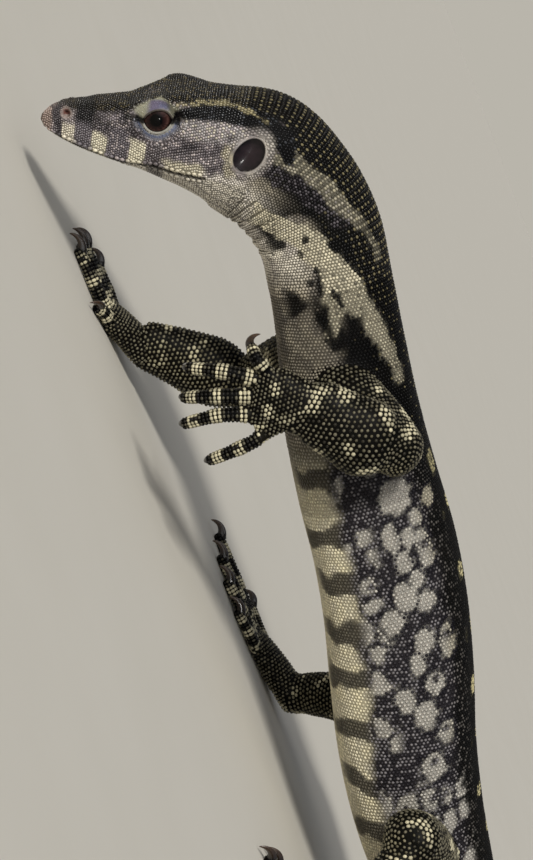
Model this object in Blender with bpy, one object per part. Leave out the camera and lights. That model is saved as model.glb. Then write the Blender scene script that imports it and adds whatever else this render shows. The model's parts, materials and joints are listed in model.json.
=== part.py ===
"""A young water monitor lizard, life size, walking with one forefoot lifted and its snout to the ground.

The lizard faces -X, its left side is at -Y and the floor is at z = 0. The tables hold millimetres, and the
meshes are in metres. The body is one row of cross-sections along a bent spine. It is parted into lengths.
The legs, feet, eyes, eardrums and claws are pieces of their own that stop a small gap short of what carries
them.
"""

import math

import bmesh
import bpy
import numpy as np
from mathutils import Matrix, Vector

MM = 0.001
GAP = 0.3

# The head, in its own frame: d runs back from the tip of the snout, and u is towards the crown.
HEAD_PITCH = math.radians(61.4)
SNOUT_X, SNOUT_Z = -75.0, 7.7
HEAD_ROWS = (
    # d, up, down, half width, power of the top, power of the underside
    (0.0, 1.2, 1.1, 1.6, 2.0, 2.0),
    (0.9, 2.2, 2.0, 2.9, 2.3, 2.6),
    (3.2, 3.7, 3.3, 4.1, 2.6, 3.2),
    (5.9, 4.6, 4.3, 4.8, 2.9, 3.8),
    (10.0, 5.4, 5.5, 5.4, 3.2, 4.2),
    (13.1, 5.9, 6.1, 6.0, 3.4, 4.2),
    (16.1, 6.5, 6.6, 6.9, 3.6, 4.0),
    (19.1, 7.7, 7.1, 7.8, 3.8, 3.6),
    (21.6, 9.0, 7.5, 8.5, 4.0, 3.3),
    (24.2, 10.3, 8.1, 9.1, 4.0, 3.0),
    (27.0, 11.1, 8.9, 9.7, 3.8, 2.8),
    (30.0, 11.3, 9.9, 10.2, 3.4, 2.6),
    (33.8, 11.3, 11.5, 10.8, 2.9, 2.4),
    (37.6, 11.7, 13.7, 11.3, 2.5, 2.3),
)
# The head is rolled about its own length to the left, and the neck takes the roll up between two places.
HEAD_ROLL = math.radians(9.0)
ROLL_START, ROLL_END = 14.45, 19.0
# The rest of the body: x and z of the middle, up and down to the skin, half width and the two powers.
BODY_ROWS = (
    (-52.0, 47.0, 13.7, 15.2, 11.8, 2.3, 2.2),
    (-42.8, 51.6, 13.6, 14.4, 11.7, 2.2, 2.1),
    (-33.0, 53.2, 13.4, 13.6, 11.8, 2.1, 2.1),
    (-20.7, 51.6, 13.3, 13.3, 12.1, 2.1, 2.1),
    (-7.0, 48.8, 13.9, 13.7, 12.9, 2.1, 2.1),
    (8.0, 45.6, 14.9, 14.8, 14.0, 2.2, 2.1),
    (24.0, 43.4, 15.6, 15.5, 15.5, 2.2, 2.2),
    (38.4, 42.0, 15.9, 15.9, 16.7, 2.2, 2.2),
    (52.5, 39.4, 16.0, 16.1, 17.4, 2.2, 2.2),
    (66.5, 35.6, 16.0, 16.1, 17.6, 2.2, 2.2),
    (82.0, 31.2, 15.4, 15.6, 17.0, 2.2, 2.2),
    (99.0, 28.0, 14.4, 14.8, 15.3, 2.2, 2.2),
    (116.2, 26.3, 12.9, 13.2, 13.0, 2.2, 2.1),
    (132.7, 24.6, 10.8, 10.8, 10.4, 2.1, 2.0),
)
# The tail: distance along it, half height, half width, height of its middle, and heading in degrees.
TAIL_ROWS = (
    (18.0, 9.2, 8.4, 20.8, 1.0),
    (38.0, 8.0, 7.0, 14.6, -7.0),
    (60.0, 7.1, 5.9, 9.0, -15.0),
    (84.0, 6.4, 5.2, 5.7, -20.0),
    (120.0, 6.0, 4.6, 5.2, -19.0),
    (160.0, 5.5, 3.9, 4.75, -6.0),
    (200.0, 4.9, 3.3, 4.25, 12.0),
    (240.0, 4.2, 2.8, 3.65, 28.0),
    (280.0, 3.5, 2.3, 3.0, 37.0),
    (320.0, 2.7, 1.8, 2.35, 37.0),
    (360.0, 1.9, 1.3, 1.65, 28.0),
    (390.0, 1.1, 0.8, 0.95, 18.0),
    (400.0, 0.5, 0.4, 0.43, 14.0),
)
TAIL_TOP_POWER, TAIL_UNDER_POWER = 1.75, 2.3
BODY_SIDES, TAIL_SIDES = 24, 12
# Where the body is parted, as rows counted from the snout, with the rings in each length.
LENGTHS = (
    ("head", 0.0, 14.45, 29),
    ("neck", 14.45, 17.5, 10),
    ("chest", 17.5, 20.7, 9),
    ("belly", 20.7, 23.7, 8),
    ("hips", 23.7, 27.0, 8),
    ("tail_base", 27.0, 30.6, 10),
    ("tail_second", 30.6, 33.5, 9),
    ("tail_third", 33.5, 36.5, 9),
    ("tail_tip", 36.5, 40.0, 11),
)
FIRST_TAIL_LENGTH = 5
# The stretch of the spine that the legs grow from.
TRUNK_REACH, TRUNK_RINGS = (15.5, 28.0), 30

# The mouth line in the head's frame, to its corner and down behind the jaw.
MOUTH_LINE = (
    (-3.0, 0.2), (0.3, -1.0), (1.5, -1.7), (4.5, -2.7), (8.2, -3.7), (10.4, -4.3), (14.0, -5.0), (18.4, -5.3),
    (21.9, -4.8), (24.6, -4.5), (26.5, -4.8), (29.0, -5.1), (31.9, -5.2), (35.3, -5.0), (36.7, -7.2),
    (37.4, -22.0),
)
MOUTH_CUT, MOUTH_REACH = 0.3, 20.0
JAW_TUCK, JAW_CORNER = 0.22, 36.0

EYE_D, EYE_U, EYE_RADIUS, EYE_OUT = 24.1, 5.4, 4.0, 9.2
# The rim of the lids: an almond that lies on the eyeball, squarer than an ellipse and raised at the back.
LID_LONG, LID_HIGH, LID_THICK = 3.7, 2.65, 0.6
LID_SQUARE, LID_RAISE, LID_SINK, LID_BROAD = 0.25, 0.12, 0.55, 1.15
LID_STEPS, LID_SIDES = 18, 6
BROW_D, BROW_LENGTH, BROW_ANGLE, BROW_SPREAD, BROW_HEIGHT = 26.0, 6.5, 0.86, 0.24, 1.5
NOSTRIL_D, NOSTRIL_U, NOSTRIL_Y, NOSTRIL_RADIUS, NOSTRIL_DEEP = 4.9, 2.6, 4.3, 0.95, 1.3
EAR_D, EAR_U, EAR_LONG, EAR_WIDE, EAR_DEEP = 43.7, 1.7, 4.1, 3.0, 2.5
EAR_LEAN = math.radians(35.0)
EAR_OUT, EARDRUM_THICK = 0.9, 0.8

# Each leg's joints from the body to the foot, as x, y, z, half breadth and half thickness there.
LEGS = {
    "fore_left": {
        "upper": ((-1.5, -5.0, 45.0, 8.6, 8.2), (3.0, -13.0, 48.2, 8.0, 7.2),
                  (8.6, -19.0, 51.6, 7.2, 6.5), (12.6, -22.6, 53.2, 6.9, 6.3)),
        "lower": ((12.0, -23.2, 52.4, 5.2, 4.8), (8.4, -24.8, 49.4, 8.3, 6.5),
                  (2.8, -26.0, 44.8, 7.6, 5.6), (-2.6, -26.4, 40.4, 6.9, 3.9)),
    },
    "fore_right": {
        "upper": ((-1.5, 5.0, 43.0, 8.6, 8.2), (-3.2, 13.5, 37.6, 7.8, 7.2),
                  (-1.6, 19.6, 30.6, 7.1, 6.5), (0.6, 23.4, 24.8, 6.9, 6.3)),
        "lower": ((0.0, 23.6, 24.2, 5.2, 4.8), (-5.0, 24.6, 19.0, 7.8, 6.4),
                  (-11.0, 24.8, 13.0, 6.8, 5.5), (-16.6, 24.4, 6.8, 5.6, 3.9)),
    },
    "hind_left": {
        "upper": ((112.0, -4.0, 25.0, 10.4, 9.6), (105.0, -13.5, 25.6, 9.8, 8.6),
                  (98.0, -23.5, 27.2, 8.6, 7.4), (91.6, -33.0, 27.6, 6.9, 6.5)),
        "lower": ((92.6, -33.6, 26.4, 5.0, 4.6), (98.6, -36.8, 20.8, 6.8, 5.8),
                  (105.4, -39.8, 13.8, 5.7, 4.9), (111.6, -42.0, 6.8, 4.9, 4.0)),
    },
    "hind_right": {
        "upper": ((112.0, 4.0, 25.0, 10.4, 9.6), (103.0, 12.5, 26.6, 9.8, 8.6),
                  (93.0, 21.5, 28.8, 8.6, 7.4), (84.6, 29.0, 29.2, 6.9, 6.5)),
        "lower": ((84.2, 30.4, 27.6, 5.0, 4.6), (82.6, 35.4, 21.2, 6.8, 5.8),
                  (80.4, 40.2, 14.0, 5.7, 4.9), (78.6, 44.2, 6.6, 4.9, 4.0)),
    },
}
LEG_SIDES, LEG_RINGS = 12, 7
# The two rings that round off the end of a limb: how far out each lies, and its share of the full size.
DOME = ((0.45, 0.80), (0.72, 0.42))

# The digits of a forefoot and a hind foot, on a chart: along the foot from the wrist, and across it.
FORE_DIGITS = (
    ((7.2, 4.0), (11.8, 7.8), (13.6, 9.8)),
    ((10.5, 3.9), (18.5, 4.2), (25.5, 3.0)),
    ((11.0, 0.4), (19.3, -1.3), (25.1, -3.3)),
    ((10.0, -3.3), (17.4, -5.0), (24.0, -8.7)),
    ((6.0, -5.4), (10.6, -10.0), (17.4, -15.3)),
)
HIND_DIGITS = (
    ((13.0, 4.6), (18.0, 7.0), (23.5, 8.4)),
    ((15.5, 3.2), (23.5, 6.0), (31.0, 7.2)),
    ((16.5, 0.6), (26.5, 2.6), (36.5, 2.8)),
    ((15.5, -2.6), (28.0, -3.8), (40.5, -6.8)),
    ((6.0, -4.8), (13.0, -10.4), (21.5, -16.4)),
)
# Each foot: its wrist, the way it points, the way its back faces, and which side its first digit is on.
FEET = {
    "fore_left": {"wrist": (-3.1, -26.4, 39.7), "point": (-0.53, 0.02, -0.85), "back": (0.0, -1.0, 0.0),
                  "side": -1, "floor": False, "digits": FORE_DIGITS, "palm": (11.5, 7.8, 3.1)},
    "fore_right": {"wrist": (-17.0, 24.4, 5.4), "point": (-0.99, -0.04, -0.1), "back": (-0.2, 0.0, 1.0),
                   "side": 1, "floor": True, "digits": FORE_DIGITS, "palm": (11.5, 7.0, 3.1)},
    "hind_left": {"wrist": (111.8, -42.2, 5.4), "point": (-0.90, -0.36, -0.1), "back": (-0.2, 0.0, 1.0),
                  "side": -1, "floor": True, "digits": HIND_DIGITS, "palm": (16.5, 6.2, 3.4)},
    "hind_right": {"wrist": (78.4, 44.4, 5.4), "point": (-0.97, 0.18, -0.1), "back": (-0.2, 0.0, 1.0),
                   "side": 1, "floor": True, "digits": HIND_DIGITS, "palm": (16.5, 6.2, 3.4)},
}
# The palm's rows: share of its length, share of its half breadth, share of its half thickness.
PALM_ROWS = ((-0.1, 0.70, 1.15), (0.3, 0.84, 1.1), (0.65, 0.98, 0.95), (0.9, 0.86, 0.72))
PALM_RINGS, PALM_EASE = 7, 1.6
DIGIT_ROOT, DIGIT_TIP, DIGIT_ARCH, HAND_CURL = 1.75, 1.2, 0.9, 1.6
DIGIT_SHARES = (-0.22, 0.0, 0.25, 0.5, 0.75, 1.0)
DIGIT_SIDES, DIGIT_RINGS = 7, 6
DIGIT_NAMES = ("one", "two", "three", "four", "five")
# A claw: its length, how deep and wide its root is, how deep its point is, and the angles at its two ends.
CLAW_LENGTH, CLAW_ROOT, CLAW_WIDTH, CLAW_TIP = 5.2, 1.05, 0.68, 0.14
CLAW_SUNK, CLAW_SUNK_SHARE, CLAW_TAPER = 0.9, 0.8, 0.8
CLAW_START, CLAW_END = math.radians(32.0), math.radians(-66.0)
HANGING_CLAW_START, HANGING_CLAW_END = math.radians(15.0), math.radians(-100.0)
CURLED_CLAW_START, CURLED_CLAW_END = math.radians(-30.0), math.radians(-120.0)
CLAW_SIDES, CLAW_RINGS, CLAW_LIFT = 6, 6, 0.75
# How high a digit or palm that lies on the floor has its middle, as a share of its half thickness.
SOLE_HEIGHT = 0.84
SHARP_ANGLE = math.radians(50.0)
WELD = 0.00005


for leftover in list(bpy.data.objects):
    bpy.data.objects.remove(leftover)
parts = bpy.data.collections.new("water_monitor")
cutters = bpy.data.collections.new("cutters")
for collection in (parts, cutters):
    bpy.context.scene.collection.children.link(collection)

head_axis = Vector((math.cos(HEAD_PITCH), 0.0, math.sin(HEAD_PITCH)))
crown_axis = Vector((-math.sin(HEAD_PITCH), 0.0, math.cos(HEAD_PITCH)))
crown_axis.rotate(Matrix.Rotation(HEAD_ROLL, 3, head_axis))
side_axis = crown_axis.cross(head_axis)


def smooth(xs, ys, x):
    """A smooth curve through the points (xs, ys), read at x: cubic pieces with the slopes averaged."""
    xs, ys, x = np.asarray(xs, float), np.asarray(ys, float), np.asarray(x, float)
    steps = np.diff(xs)
    rises = np.diff(ys, axis=0) / steps[:, None]
    slopes = np.empty_like(ys)
    slopes[0], slopes[-1] = rises[0], rises[-1]
    slopes[1:-1] = rises[:-1] * steps[1:, None] + rises[1:] * steps[:-1, None]
    slopes[1:-1] /= (steps[:-1] + steps[1:])[:, None]
    i = np.clip(np.searchsorted(xs, x) - 1, 0, len(steps) - 1)
    t = ((x - xs[i]) / steps[i])[:, None]
    h = steps[i][:, None]
    return (ys[i] * (1 + 2 * t) * (1 - t) ** 2 + slopes[i] * h * t * (1 - t) ** 2
            + ys[i + 1] * t * t * (3 - 2 * t) + slopes[i + 1] * h * t * t * (t - 1))


def head_point(d, y, u):
    """A point of the head's own frame, in the lizard's frame."""
    return Vector((SNOUT_X, 0.0, SNOUT_Z)) + head_axis * d + side_axis * y + crown_axis * u


def spine_rows():
    """All the body's rows as x, y, z, up, down, half width and the two powers."""
    rows = []
    for d, up, down, half_width, top, under in HEAD_ROWS:
        middle = head_point(d, 0.0, 0.0)
        rows.append((middle.x, 0.0, middle.z, up, down, half_width, top, under))
    for x, z, up, down, half_width, top, under in BODY_ROWS:
        rows.append((x, 0.0, z, up, down, half_width, top, under))
    x, y, along, height = BODY_ROWS[-1][0], 0.0, 0.0, BODY_ROWS[-1][1]
    for distance, half_height, half_width, middle, heading in TAIL_ROWS:
        flat = math.sqrt((distance - along) ** 2 - (height - middle) ** 2)
        x += flat * math.cos(math.radians(heading))
        y += flat * math.sin(math.radians(heading))
        along, height = distance, middle
        rows.append((x, y, middle, half_height, half_height, half_width, TAIL_TOP_POWER, TAIL_UNDER_POWER))
    return np.array(rows)


SPINE = spine_rows()


def spine_at(places, grow=0.0):
    """Middles, frames and section sizes at places counted in rows, each size made larger by grow."""
    count = np.arange(len(SPINE), dtype=float)
    knots = np.concatenate([[0.0], np.cumsum(np.linalg.norm(np.diff(SPINE[:, :3], axis=0), axis=1))])
    at = np.interp(places, count, knots)
    rows = smooth(knots, SPINE, at)
    step = 0.05
    ahead = smooth(knots, SPINE[:, :3], np.minimum(at + step, knots[-1]))
    behind = smooth(knots, SPINE[:, :3], np.maximum(at - step, 0.0))
    rows[:, 3:6] += grow
    return rows, ahead - behind


def roll_at(place):
    """How far a section is rolled about the spine at a place."""
    share = min(1.0, max(0.0, (ROLL_END - place) / (ROLL_END - ROLL_START)))
    return HEAD_ROLL * share * share * (3 - 2 * share)


def power_ring(half_width, up, down, top, under, sides):
    """One cross-section, as sideways and upward offsets: ellipses with their corners filled by the powers."""
    angle = 2 * math.pi * np.arange(sides) / sides
    c, s = np.cos(angle), np.sin(angle)
    power = 2 / np.where(s >= 0, top, under)
    across = half_width * np.sign(c) * np.abs(c) ** power
    height = np.where(s >= 0, up, down) * np.sign(s) * np.abs(s) ** power
    return across, height


def new_piece(name, bm, home):
    """Makes an object of a closed mesh with its faces pointing out, as a part or as a cutter."""
    bmesh.ops.recalc_face_normals(bm, faces=bm.faces[:])
    mesh = bpy.data.meshes.new(name)
    bm.to_mesh(mesh)
    bm.free()
    piece = bpy.data.objects.new(name, mesh)
    home.objects.link(piece)
    if home is cutters:
        piece.hide_render = True
        piece.display_type = "WIRE"
    return piece


def tube(name, rings, home):
    """A closed mesh through rings of like count, with flat ends, level where it would pass the floor."""
    bm = bmesh.new()
    loops = [[bm.verts.new(Vector((p.x, p.y, max(p.z, 0.0))) * MM) for p in ring] for ring in rings]
    sides = len(loops[0])
    for a, b in zip(loops, loops[1:]):
        for k in range(sides):
            n = (k + 1) % sides
            bm.faces.new((a[k], a[n], b[n], b[k]))
    bm.faces.new(loops[0][::-1])
    bm.faces.new(loops[-1])
    bmesh.ops.triangulate(bm, faces=bm.faces[:])
    return new_piece(name, bm, home)


def brow(d, side_angle):
    """How far the ridge over the eye stands out of the head's section, in millimetres."""
    along = math.exp(-(((d - BROW_D) / BROW_LENGTH) ** 2))
    around = math.exp(-(((side_angle - BROW_ANGLE) / BROW_SPREAD) ** 2))
    return BROW_HEIGHT * along * around


def body_length(name, start, end, rings, sides, home, grow=0.0):
    """One length of the body between two places on the spine, for the head with the ridge over each eye."""
    rows, tangents = spine_at(np.linspace(start, end, rings), grow)
    loops = []
    for row, tangent, place in zip(rows, tangents, np.linspace(start, end, rings)):
        along = Vector(tangent).normalized()
        across = Vector((0.0, 0.0, 1.0)).cross(along).normalized()
        across.rotate(Matrix.Rotation(roll_at(place), 3, along))
        upward = along.cross(across)
        side, height = power_ring(row[5], row[3], row[4], row[6], row[7], sides)
        loop = []
        for a, h in zip(side, height):
            point = Vector(row[:3]) + across * a + upward * h
            if place < len(HEAD_ROWS) and h > 0:
                d = (point - head_point(0.0, 0.0, 0.0)).dot(head_axis)
                out = (across * a + upward * h).normalized()
                point += out * brow(d, math.atan2(h, abs(a)))
            loop.append(point)
        loops.append(loop)
    return tube(name, loops, home)


def limb(name, joints, sides, rings, up, home, grow=0.0):
    """A tapered length through its joints, with domed ends; up is the way its half thickness is measured."""
    joints = np.array(joints, float)
    knots = np.concatenate([[0.0], np.cumsum(np.linalg.norm(np.diff(joints[:, :3], axis=0), axis=1))])
    rows = smooth(knots, joints, np.linspace(0.0, knots[-1], rings))
    tangents = np.gradient(rows[:, :3], axis=0)
    loops = []
    for k, (row, tangent) in enumerate(zip(rows, tangents)):
        along = Vector(tangent).normalized()
        across = up.cross(along).normalized()
        upward = along.cross(across)
        broad, thick = row[3] + grow, row[4] + grow
        for lift, share in dome(k, rings):
            angles = [2 * math.pi * (n + 0.5) / sides - math.pi / 2 for n in range(sides)]
            loops.append([Vector(row[:3]) + along * (lift * thick)
                          + across * (math.cos(angle) * broad * share)
                          + upward * (math.sin(angle) * thick * share) for angle in angles])
    return tube(name, loops, home)


def dome(k, rings):
    """The offsets and shares of the rings at place k: one in the middle, and three to round off an end."""
    middle = ((0.0, 1.0),)
    if k == 0:
        return tuple((-lift, share) for lift, share in reversed(DOME)) + middle
    if k == rings - 1:
        return middle + DOME
    return middle


def boolean(target, operation):
    """Joins all the cutters to the target, or cuts them out of it, and removes them."""
    modifier = target.modifiers.new("boolean", "BOOLEAN")
    modifier.operation = operation
    modifier.operand_type = "COLLECTION"
    modifier.collection = cutters
    modifier.solver = "EXACT"
    result = bpy.data.meshes.new_from_object(target.evaluated_get(bpy.context.evaluated_depsgraph_get()))
    target.modifiers.clear()
    target.data = result
    for cutter in list(cutters.objects):
        bpy.data.objects.remove(cutter)


def extent(points):
    """The diagonal of the box round some points."""
    return Vector([max(p.co[i] for p in points) - min(p.co[i] for p in points) for i in range(3)]).length


def loose_parts(piece):
    """The closed surfaces of a mesh, as sets of points, largest first."""
    bm = bmesh.new()
    bm.from_mesh(piece.data)
    bmesh.ops.remove_doubles(bm, verts=bm.verts[:], dist=WELD * MM)
    bm.verts.ensure_lookup_table()
    seen, found_parts = set(), []
    for seed in bm.verts:
        if seed in seen:
            continue
        stack, found = [seed], {seed}
        while stack:
            for edge in stack.pop().link_edges:
                for vertex in edge.verts:
                    if vertex not in found:
                        found.add(vertex)
                        stack.append(vertex)
        seen |= found
        found_parts.append(found)
    found_parts.sort(key=extent, reverse=True)
    return bm, found_parts


def keep_part(piece, rank=0):
    """Keeps one closed surface of a mesh, counted from the largest."""
    bm, found_parts = loose_parts(piece)
    drop = [v for n, found in enumerate(found_parts) if n != rank for v in found]
    bmesh.ops.delete(bm, geom=drop, context="VERTS")
    bmesh.ops.triangulate(bm, faces=bm.faces[:])
    bm.to_mesh(piece.data)
    bm.free()
    return piece


def ball(name, middle, radii, turn, home, segments=14, rings=8):
    """An ellipsoid with the given half sizes along the columns of turn."""
    bm = bmesh.new()
    bmesh.ops.create_uvsphere(bm, u_segments=segments, v_segments=rings, radius=1.0)
    frame = (turn @ Matrix.Diagonal(Vector(radii) * MM)).to_4x4()
    frame.translation = Vector(middle) * MM
    bmesh.ops.transform(bm, matrix=frame, verts=bm.verts[:])
    return new_piece(name, bm, home)


def head_turn(lean=0.0):
    """The head's axes as columns, back, sideways and towards the crown, leaned about the sideways one."""
    frame = Matrix((head_axis, side_axis, crown_axis)).transposed()
    return frame @ Matrix.Rotation(lean, 3, "Y")


def mouth_cutter():
    """A thin bent wall that follows the mouth line and drops behind the jaw."""
    points = [Vector(p) for p in MOUTH_LINE]
    offset = []
    for i, p in enumerate(points):
        way = points[min(i + 1, len(points) - 1)] - points[max(i - 1, 0)]
        offset.append(Vector((way.y, -way.x)).normalized() * (MOUTH_CUT / 2))
    outline = [p + o for p, o in zip(points, offset)] + [p - o for p, o in zip(points, offset)][::-1]
    sides = [[head_point(p.x, y, p.y) for p in outline] for y in (-MOUTH_REACH, MOUTH_REACH)]
    bm = bmesh.new()
    walls = [[bm.verts.new(p * MM) for p in side] for side in sides]
    n, half = len(outline), len(points)
    for i in range(n):
        j = (i + 1) % n
        bm.faces.new((walls[0][i], walls[0][j], walls[1][j], walls[1][i]))
    for wall in walls:
        for i in range(half - 1):
            bm.faces.new((wall[i], wall[i + 1], wall[n - 2 - i], wall[n - 1 - i]))
    new_piece("mouth_cutter", bm, cutters)


def eye_middle(side):
    return head_point(EYE_D, side * (EYE_OUT - EYE_RADIUS), EYE_U)


def lid(side):
    """The rim of both lids: a round edge along an almond that lies on the eyeball."""
    middle = eye_middle(side)
    reach = EYE_RADIUS + GAP + LID_THICK * LID_SINK
    joints = []
    for k in range(LID_STEPS):
        angle = 2 * math.pi * k / LID_STEPS
        d = LID_LONG * math.cos(angle)
        u = LID_HIGH * math.sin(angle) * (1 - LID_SQUARE * abs(math.cos(angle)) ** 3) + LID_RAISE * d
        out = math.sqrt(reach ** 2 - d * d - u * u)
        joints.append(middle + head_axis * d + crown_axis * u + side_axis * (side * out))
    bm = bmesh.new()
    loops = []
    turns = [2 * math.pi * n / LID_SIDES for n in range(LID_SIDES)]
    for k, joint in enumerate(joints):
        along = (joints[(k + 1) % LID_STEPS] - joints[k - 1]).normalized()
        outward = (joint - middle).normalized()
        across = along.cross(outward).normalized()
        outward, across = outward * LID_THICK, across * (LID_THICK * LID_BROAD)
        rim = [joint + outward * math.sin(turn) + across * math.cos(turn) for turn in turns]
        loops.append([bm.verts.new(p * MM) for p in rim])
    for k in range(LID_STEPS):
        for n in range(LID_SIDES):
            a, b, m = loops[k], loops[(k + 1) % LID_STEPS], (n + 1) % LID_SIDES
            bm.faces.new((a[n], a[m], b[m], b[n]))
    new_piece("lid", bm, cutters)


def ear_middle(side):
    """The middle of the hollow of an ear, just outside the side of the head."""
    return head_point(EAR_D, side * (BODY_ROWS[0][4] + EAR_OUT), EAR_U)


def build_head():
    """The head and the lower jaw, with sockets, lids, nostrils and ear cups, and the eyes and eardrums."""
    head = body_length("head", *LENGTHS[0][1:], BODY_SIDES, parts)
    for side in (-1, 1):
        lid(side)
    boolean(head, "UNION")
    mouth_cutter()
    for side in (-1, 1):
        ball("socket", eye_middle(side), [EYE_RADIUS + GAP] * 3, head_turn(), cutters)
        ball("nostril", head_point(NOSTRIL_D, side * NOSTRIL_Y, NOSTRIL_U),
             (NOSTRIL_RADIUS, NOSTRIL_DEEP, NOSTRIL_RADIUS), head_turn(), cutters, 8, 5)
        ball("ear_cup", ear_middle(side), (EAR_WIDE, EAR_DEEP, EAR_LONG), head_turn(EAR_LEAN), cutters)
    boolean(head, "DIFFERENCE")
    jaw = head.copy()
    jaw.data = head.data.copy()
    jaw.name = "lower_jaw"
    parts.objects.link(jaw)
    keep_part(head, 0)
    keep_part(jaw, 1)
    snout = head_point(0.0, 0.0, 0.0) * MM
    for vertex in jaw.data.vertices:
        back = (vertex.co - snout).dot(head_axis) / MM
        tuck = JAW_TUCK * min(1.0, max(0.0, 1.0 - back / JAW_CORNER))
        vertex.co -= side_axis * ((vertex.co - snout).dot(side_axis) * tuck)
    for side, word in ((-1, "left"), (1, "right")):
        ball(f"eye_{word}", eye_middle(side), [EYE_RADIUS] * 3, head_turn(), parts)
        drum = ball(f"eardrum_{word}", ear_middle(side), (EAR_WIDE - GAP, EAR_DEEP - GAP, EAR_LONG - GAP),
                    head_turn(EAR_LEAN), parts)
        ball("outside", ear_middle(side) + side_axis * (side * EARDRUM_THICK),
             (EAR_LONG * 2, EAR_DEEP, EAR_LONG * 2), head_turn(), cutters)
        boolean(drum, "DIFFERENCE")
        keep_part(drum)


def build_body():
    """The neck, trunk and tail in lengths, each stopping half a gap short of the next."""
    counts = np.arange(len(SPINE), dtype=float)
    knots = np.concatenate([[0.0], np.cumsum(np.linalg.norm(np.diff(SPINE[:, :3], axis=0), axis=1))])
    for n, (name, start, end, rings) in enumerate(LENGTHS):
        if name == "head":
            continue
        begin = np.interp(np.interp(start, counts, knots) + GAP, knots, counts)
        sides = BODY_SIDES if n < FIRST_TAIL_LENGTH else TAIL_SIDES
        body_length(name, begin, end, rings, sides, parts)


def foot_frame(foot):
    """The way a foot points, the way across it to its first digit, and the way its back faces."""
    along = Vector(foot["point"]).normalized()
    back = Vector(foot["back"])
    back = (back - along * back.dot(along)).normalized()
    return along, back.cross(along) * foot["side"], back


def digit_rows(foot, number):
    """The line of one digit with its half breadth and thickness, arched a little or laid on the floor."""
    along, across, back = foot_frame(foot)
    chart = smooth((0.0, 0.5, 1.0), foot["digits"][number], DIGIT_SHARES)
    rows = []
    for share, (forward, inward) in zip(DIGIT_SHARES, chart):
        reach = max(share, 0.0)
        radius = DIGIT_ROOT + (DIGIT_TIP - DIGIT_ROOT) * reach
        arch = DIGIT_ARCH * math.sin(math.pi * reach)
        point = Vector(foot["wrist"]) + along * forward + across * inward + back * arch
        if foot["floor"]:
            point.z = radius * SOLE_HEIGHT + arch / 2
        else:
            point -= back * (HAND_CURL * reach ** 2)
        rows.append((*point, radius, radius))
    return rows


def foot_up(foot):
    """The way the back of the digits faces."""
    return Vector((0, 0, 1)) if foot["floor"] else foot_frame(foot)[2]


def digit(foot, number, grow=0.0):
    """One digit, as a piece to join to the palm or, grown by the gap, to cut a claw's root."""
    return limb("digit", digit_rows(foot, number), DIGIT_SIDES, DIGIT_RINGS, foot_up(foot), cutters, grow)


def palm(name, foot):
    """The flat pad of a hand or foot, from inside the wrist to the roots of the digits."""
    along, _, back = foot_frame(foot)
    length, broad, thick = foot["palm"]
    rows = []
    for share, breadth, thickness in PALM_ROWS:
        point = Vector(foot["wrist"]) + along * (length * share)
        if foot["floor"]:
            ease = min(1.0, max(0.0, share * PALM_EASE))
            point.z = point.z * (1 - ease) + thick * thickness * SOLE_HEIGHT * ease
        rows.append((*point, broad * breadth, thick * thickness))
    return limb(name, rows, LEG_SIDES, PALM_RINGS, back, parts)


def claw(name, foot, number):
    """A hooked claw that leaves the top of the digit's end and turns down towards the sole."""
    rows = digit_rows(foot, number)
    tip, before = Vector(rows[-1][:3]), Vector(rows[-2][:3])
    along, _, _ = foot_frame(foot)
    up = foot_up(foot)
    way = tip - before
    if foot["floor"]:
        way.z = 0.0
        start, end, lift = CLAW_START, CLAW_END, CLAW_LIFT
    elif number == 0:
        start, end, lift = HANGING_CLAW_START, HANGING_CLAW_END, 0.0
        up = along
    else:
        start, end, lift = CURLED_CLAW_START, CURLED_CLAW_END, 0.0
    way.normalize()
    up = (up - way * up.dot(way)).normalized()
    point = tip + up * lift
    step = CLAW_LENGTH / (CLAW_RINGS - 1)
    middles, depths = [point - way * CLAW_SUNK], [CLAW_ROOT * CLAW_SUNK_SHARE]
    for k in range(CLAW_RINGS):
        share = k / (CLAW_RINGS - 1)
        middles.append(point.copy())
        depths.append(CLAW_ROOT * (1 - share) ** CLAW_TAPER + CLAW_TIP)
        angle = start + (end - start) * share
        point = point + (way * math.cos(angle) + up * math.sin(angle)) * step
    loops = []
    for k, (middle, depth) in enumerate(zip(middles, depths)):
        tangent = (middles[min(k + 1, len(middles) - 1)] - middles[max(k - 1, 0)]).normalized()
        across = way.cross(up).normalized()
        upward = across.cross(tangent)
        loops.append([middle + across * (math.cos(2 * math.pi * n / CLAW_SIDES) * depth * CLAW_WIDTH)
                      + upward * (math.sin(2 * math.pi * n / CLAW_SIDES) * depth)
                      for n in range(CLAW_SIDES)])
    return tube(name, loops, parts)


def trunk_grown():
    """The body as the legs meet it, made larger by the gap."""
    body_length("trunk_grown", *TRUNK_REACH, TRUNK_RINGS, BODY_SIDES, cutters, GAP)


def upper_leg(name, leg, home, grow=0.0):
    """The upper arm or thigh."""
    return limb(name, leg["upper"], LEG_SIDES, LEG_RINGS, Vector((0, 0, 1)), home, grow)


def lower_leg(name, leg, home, grow=0.0):
    """The forearm or shin."""
    return limb(name, leg["lower"], LEG_SIDES, LEG_RINGS, Vector((0, 1, 0)), home, grow)


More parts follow.
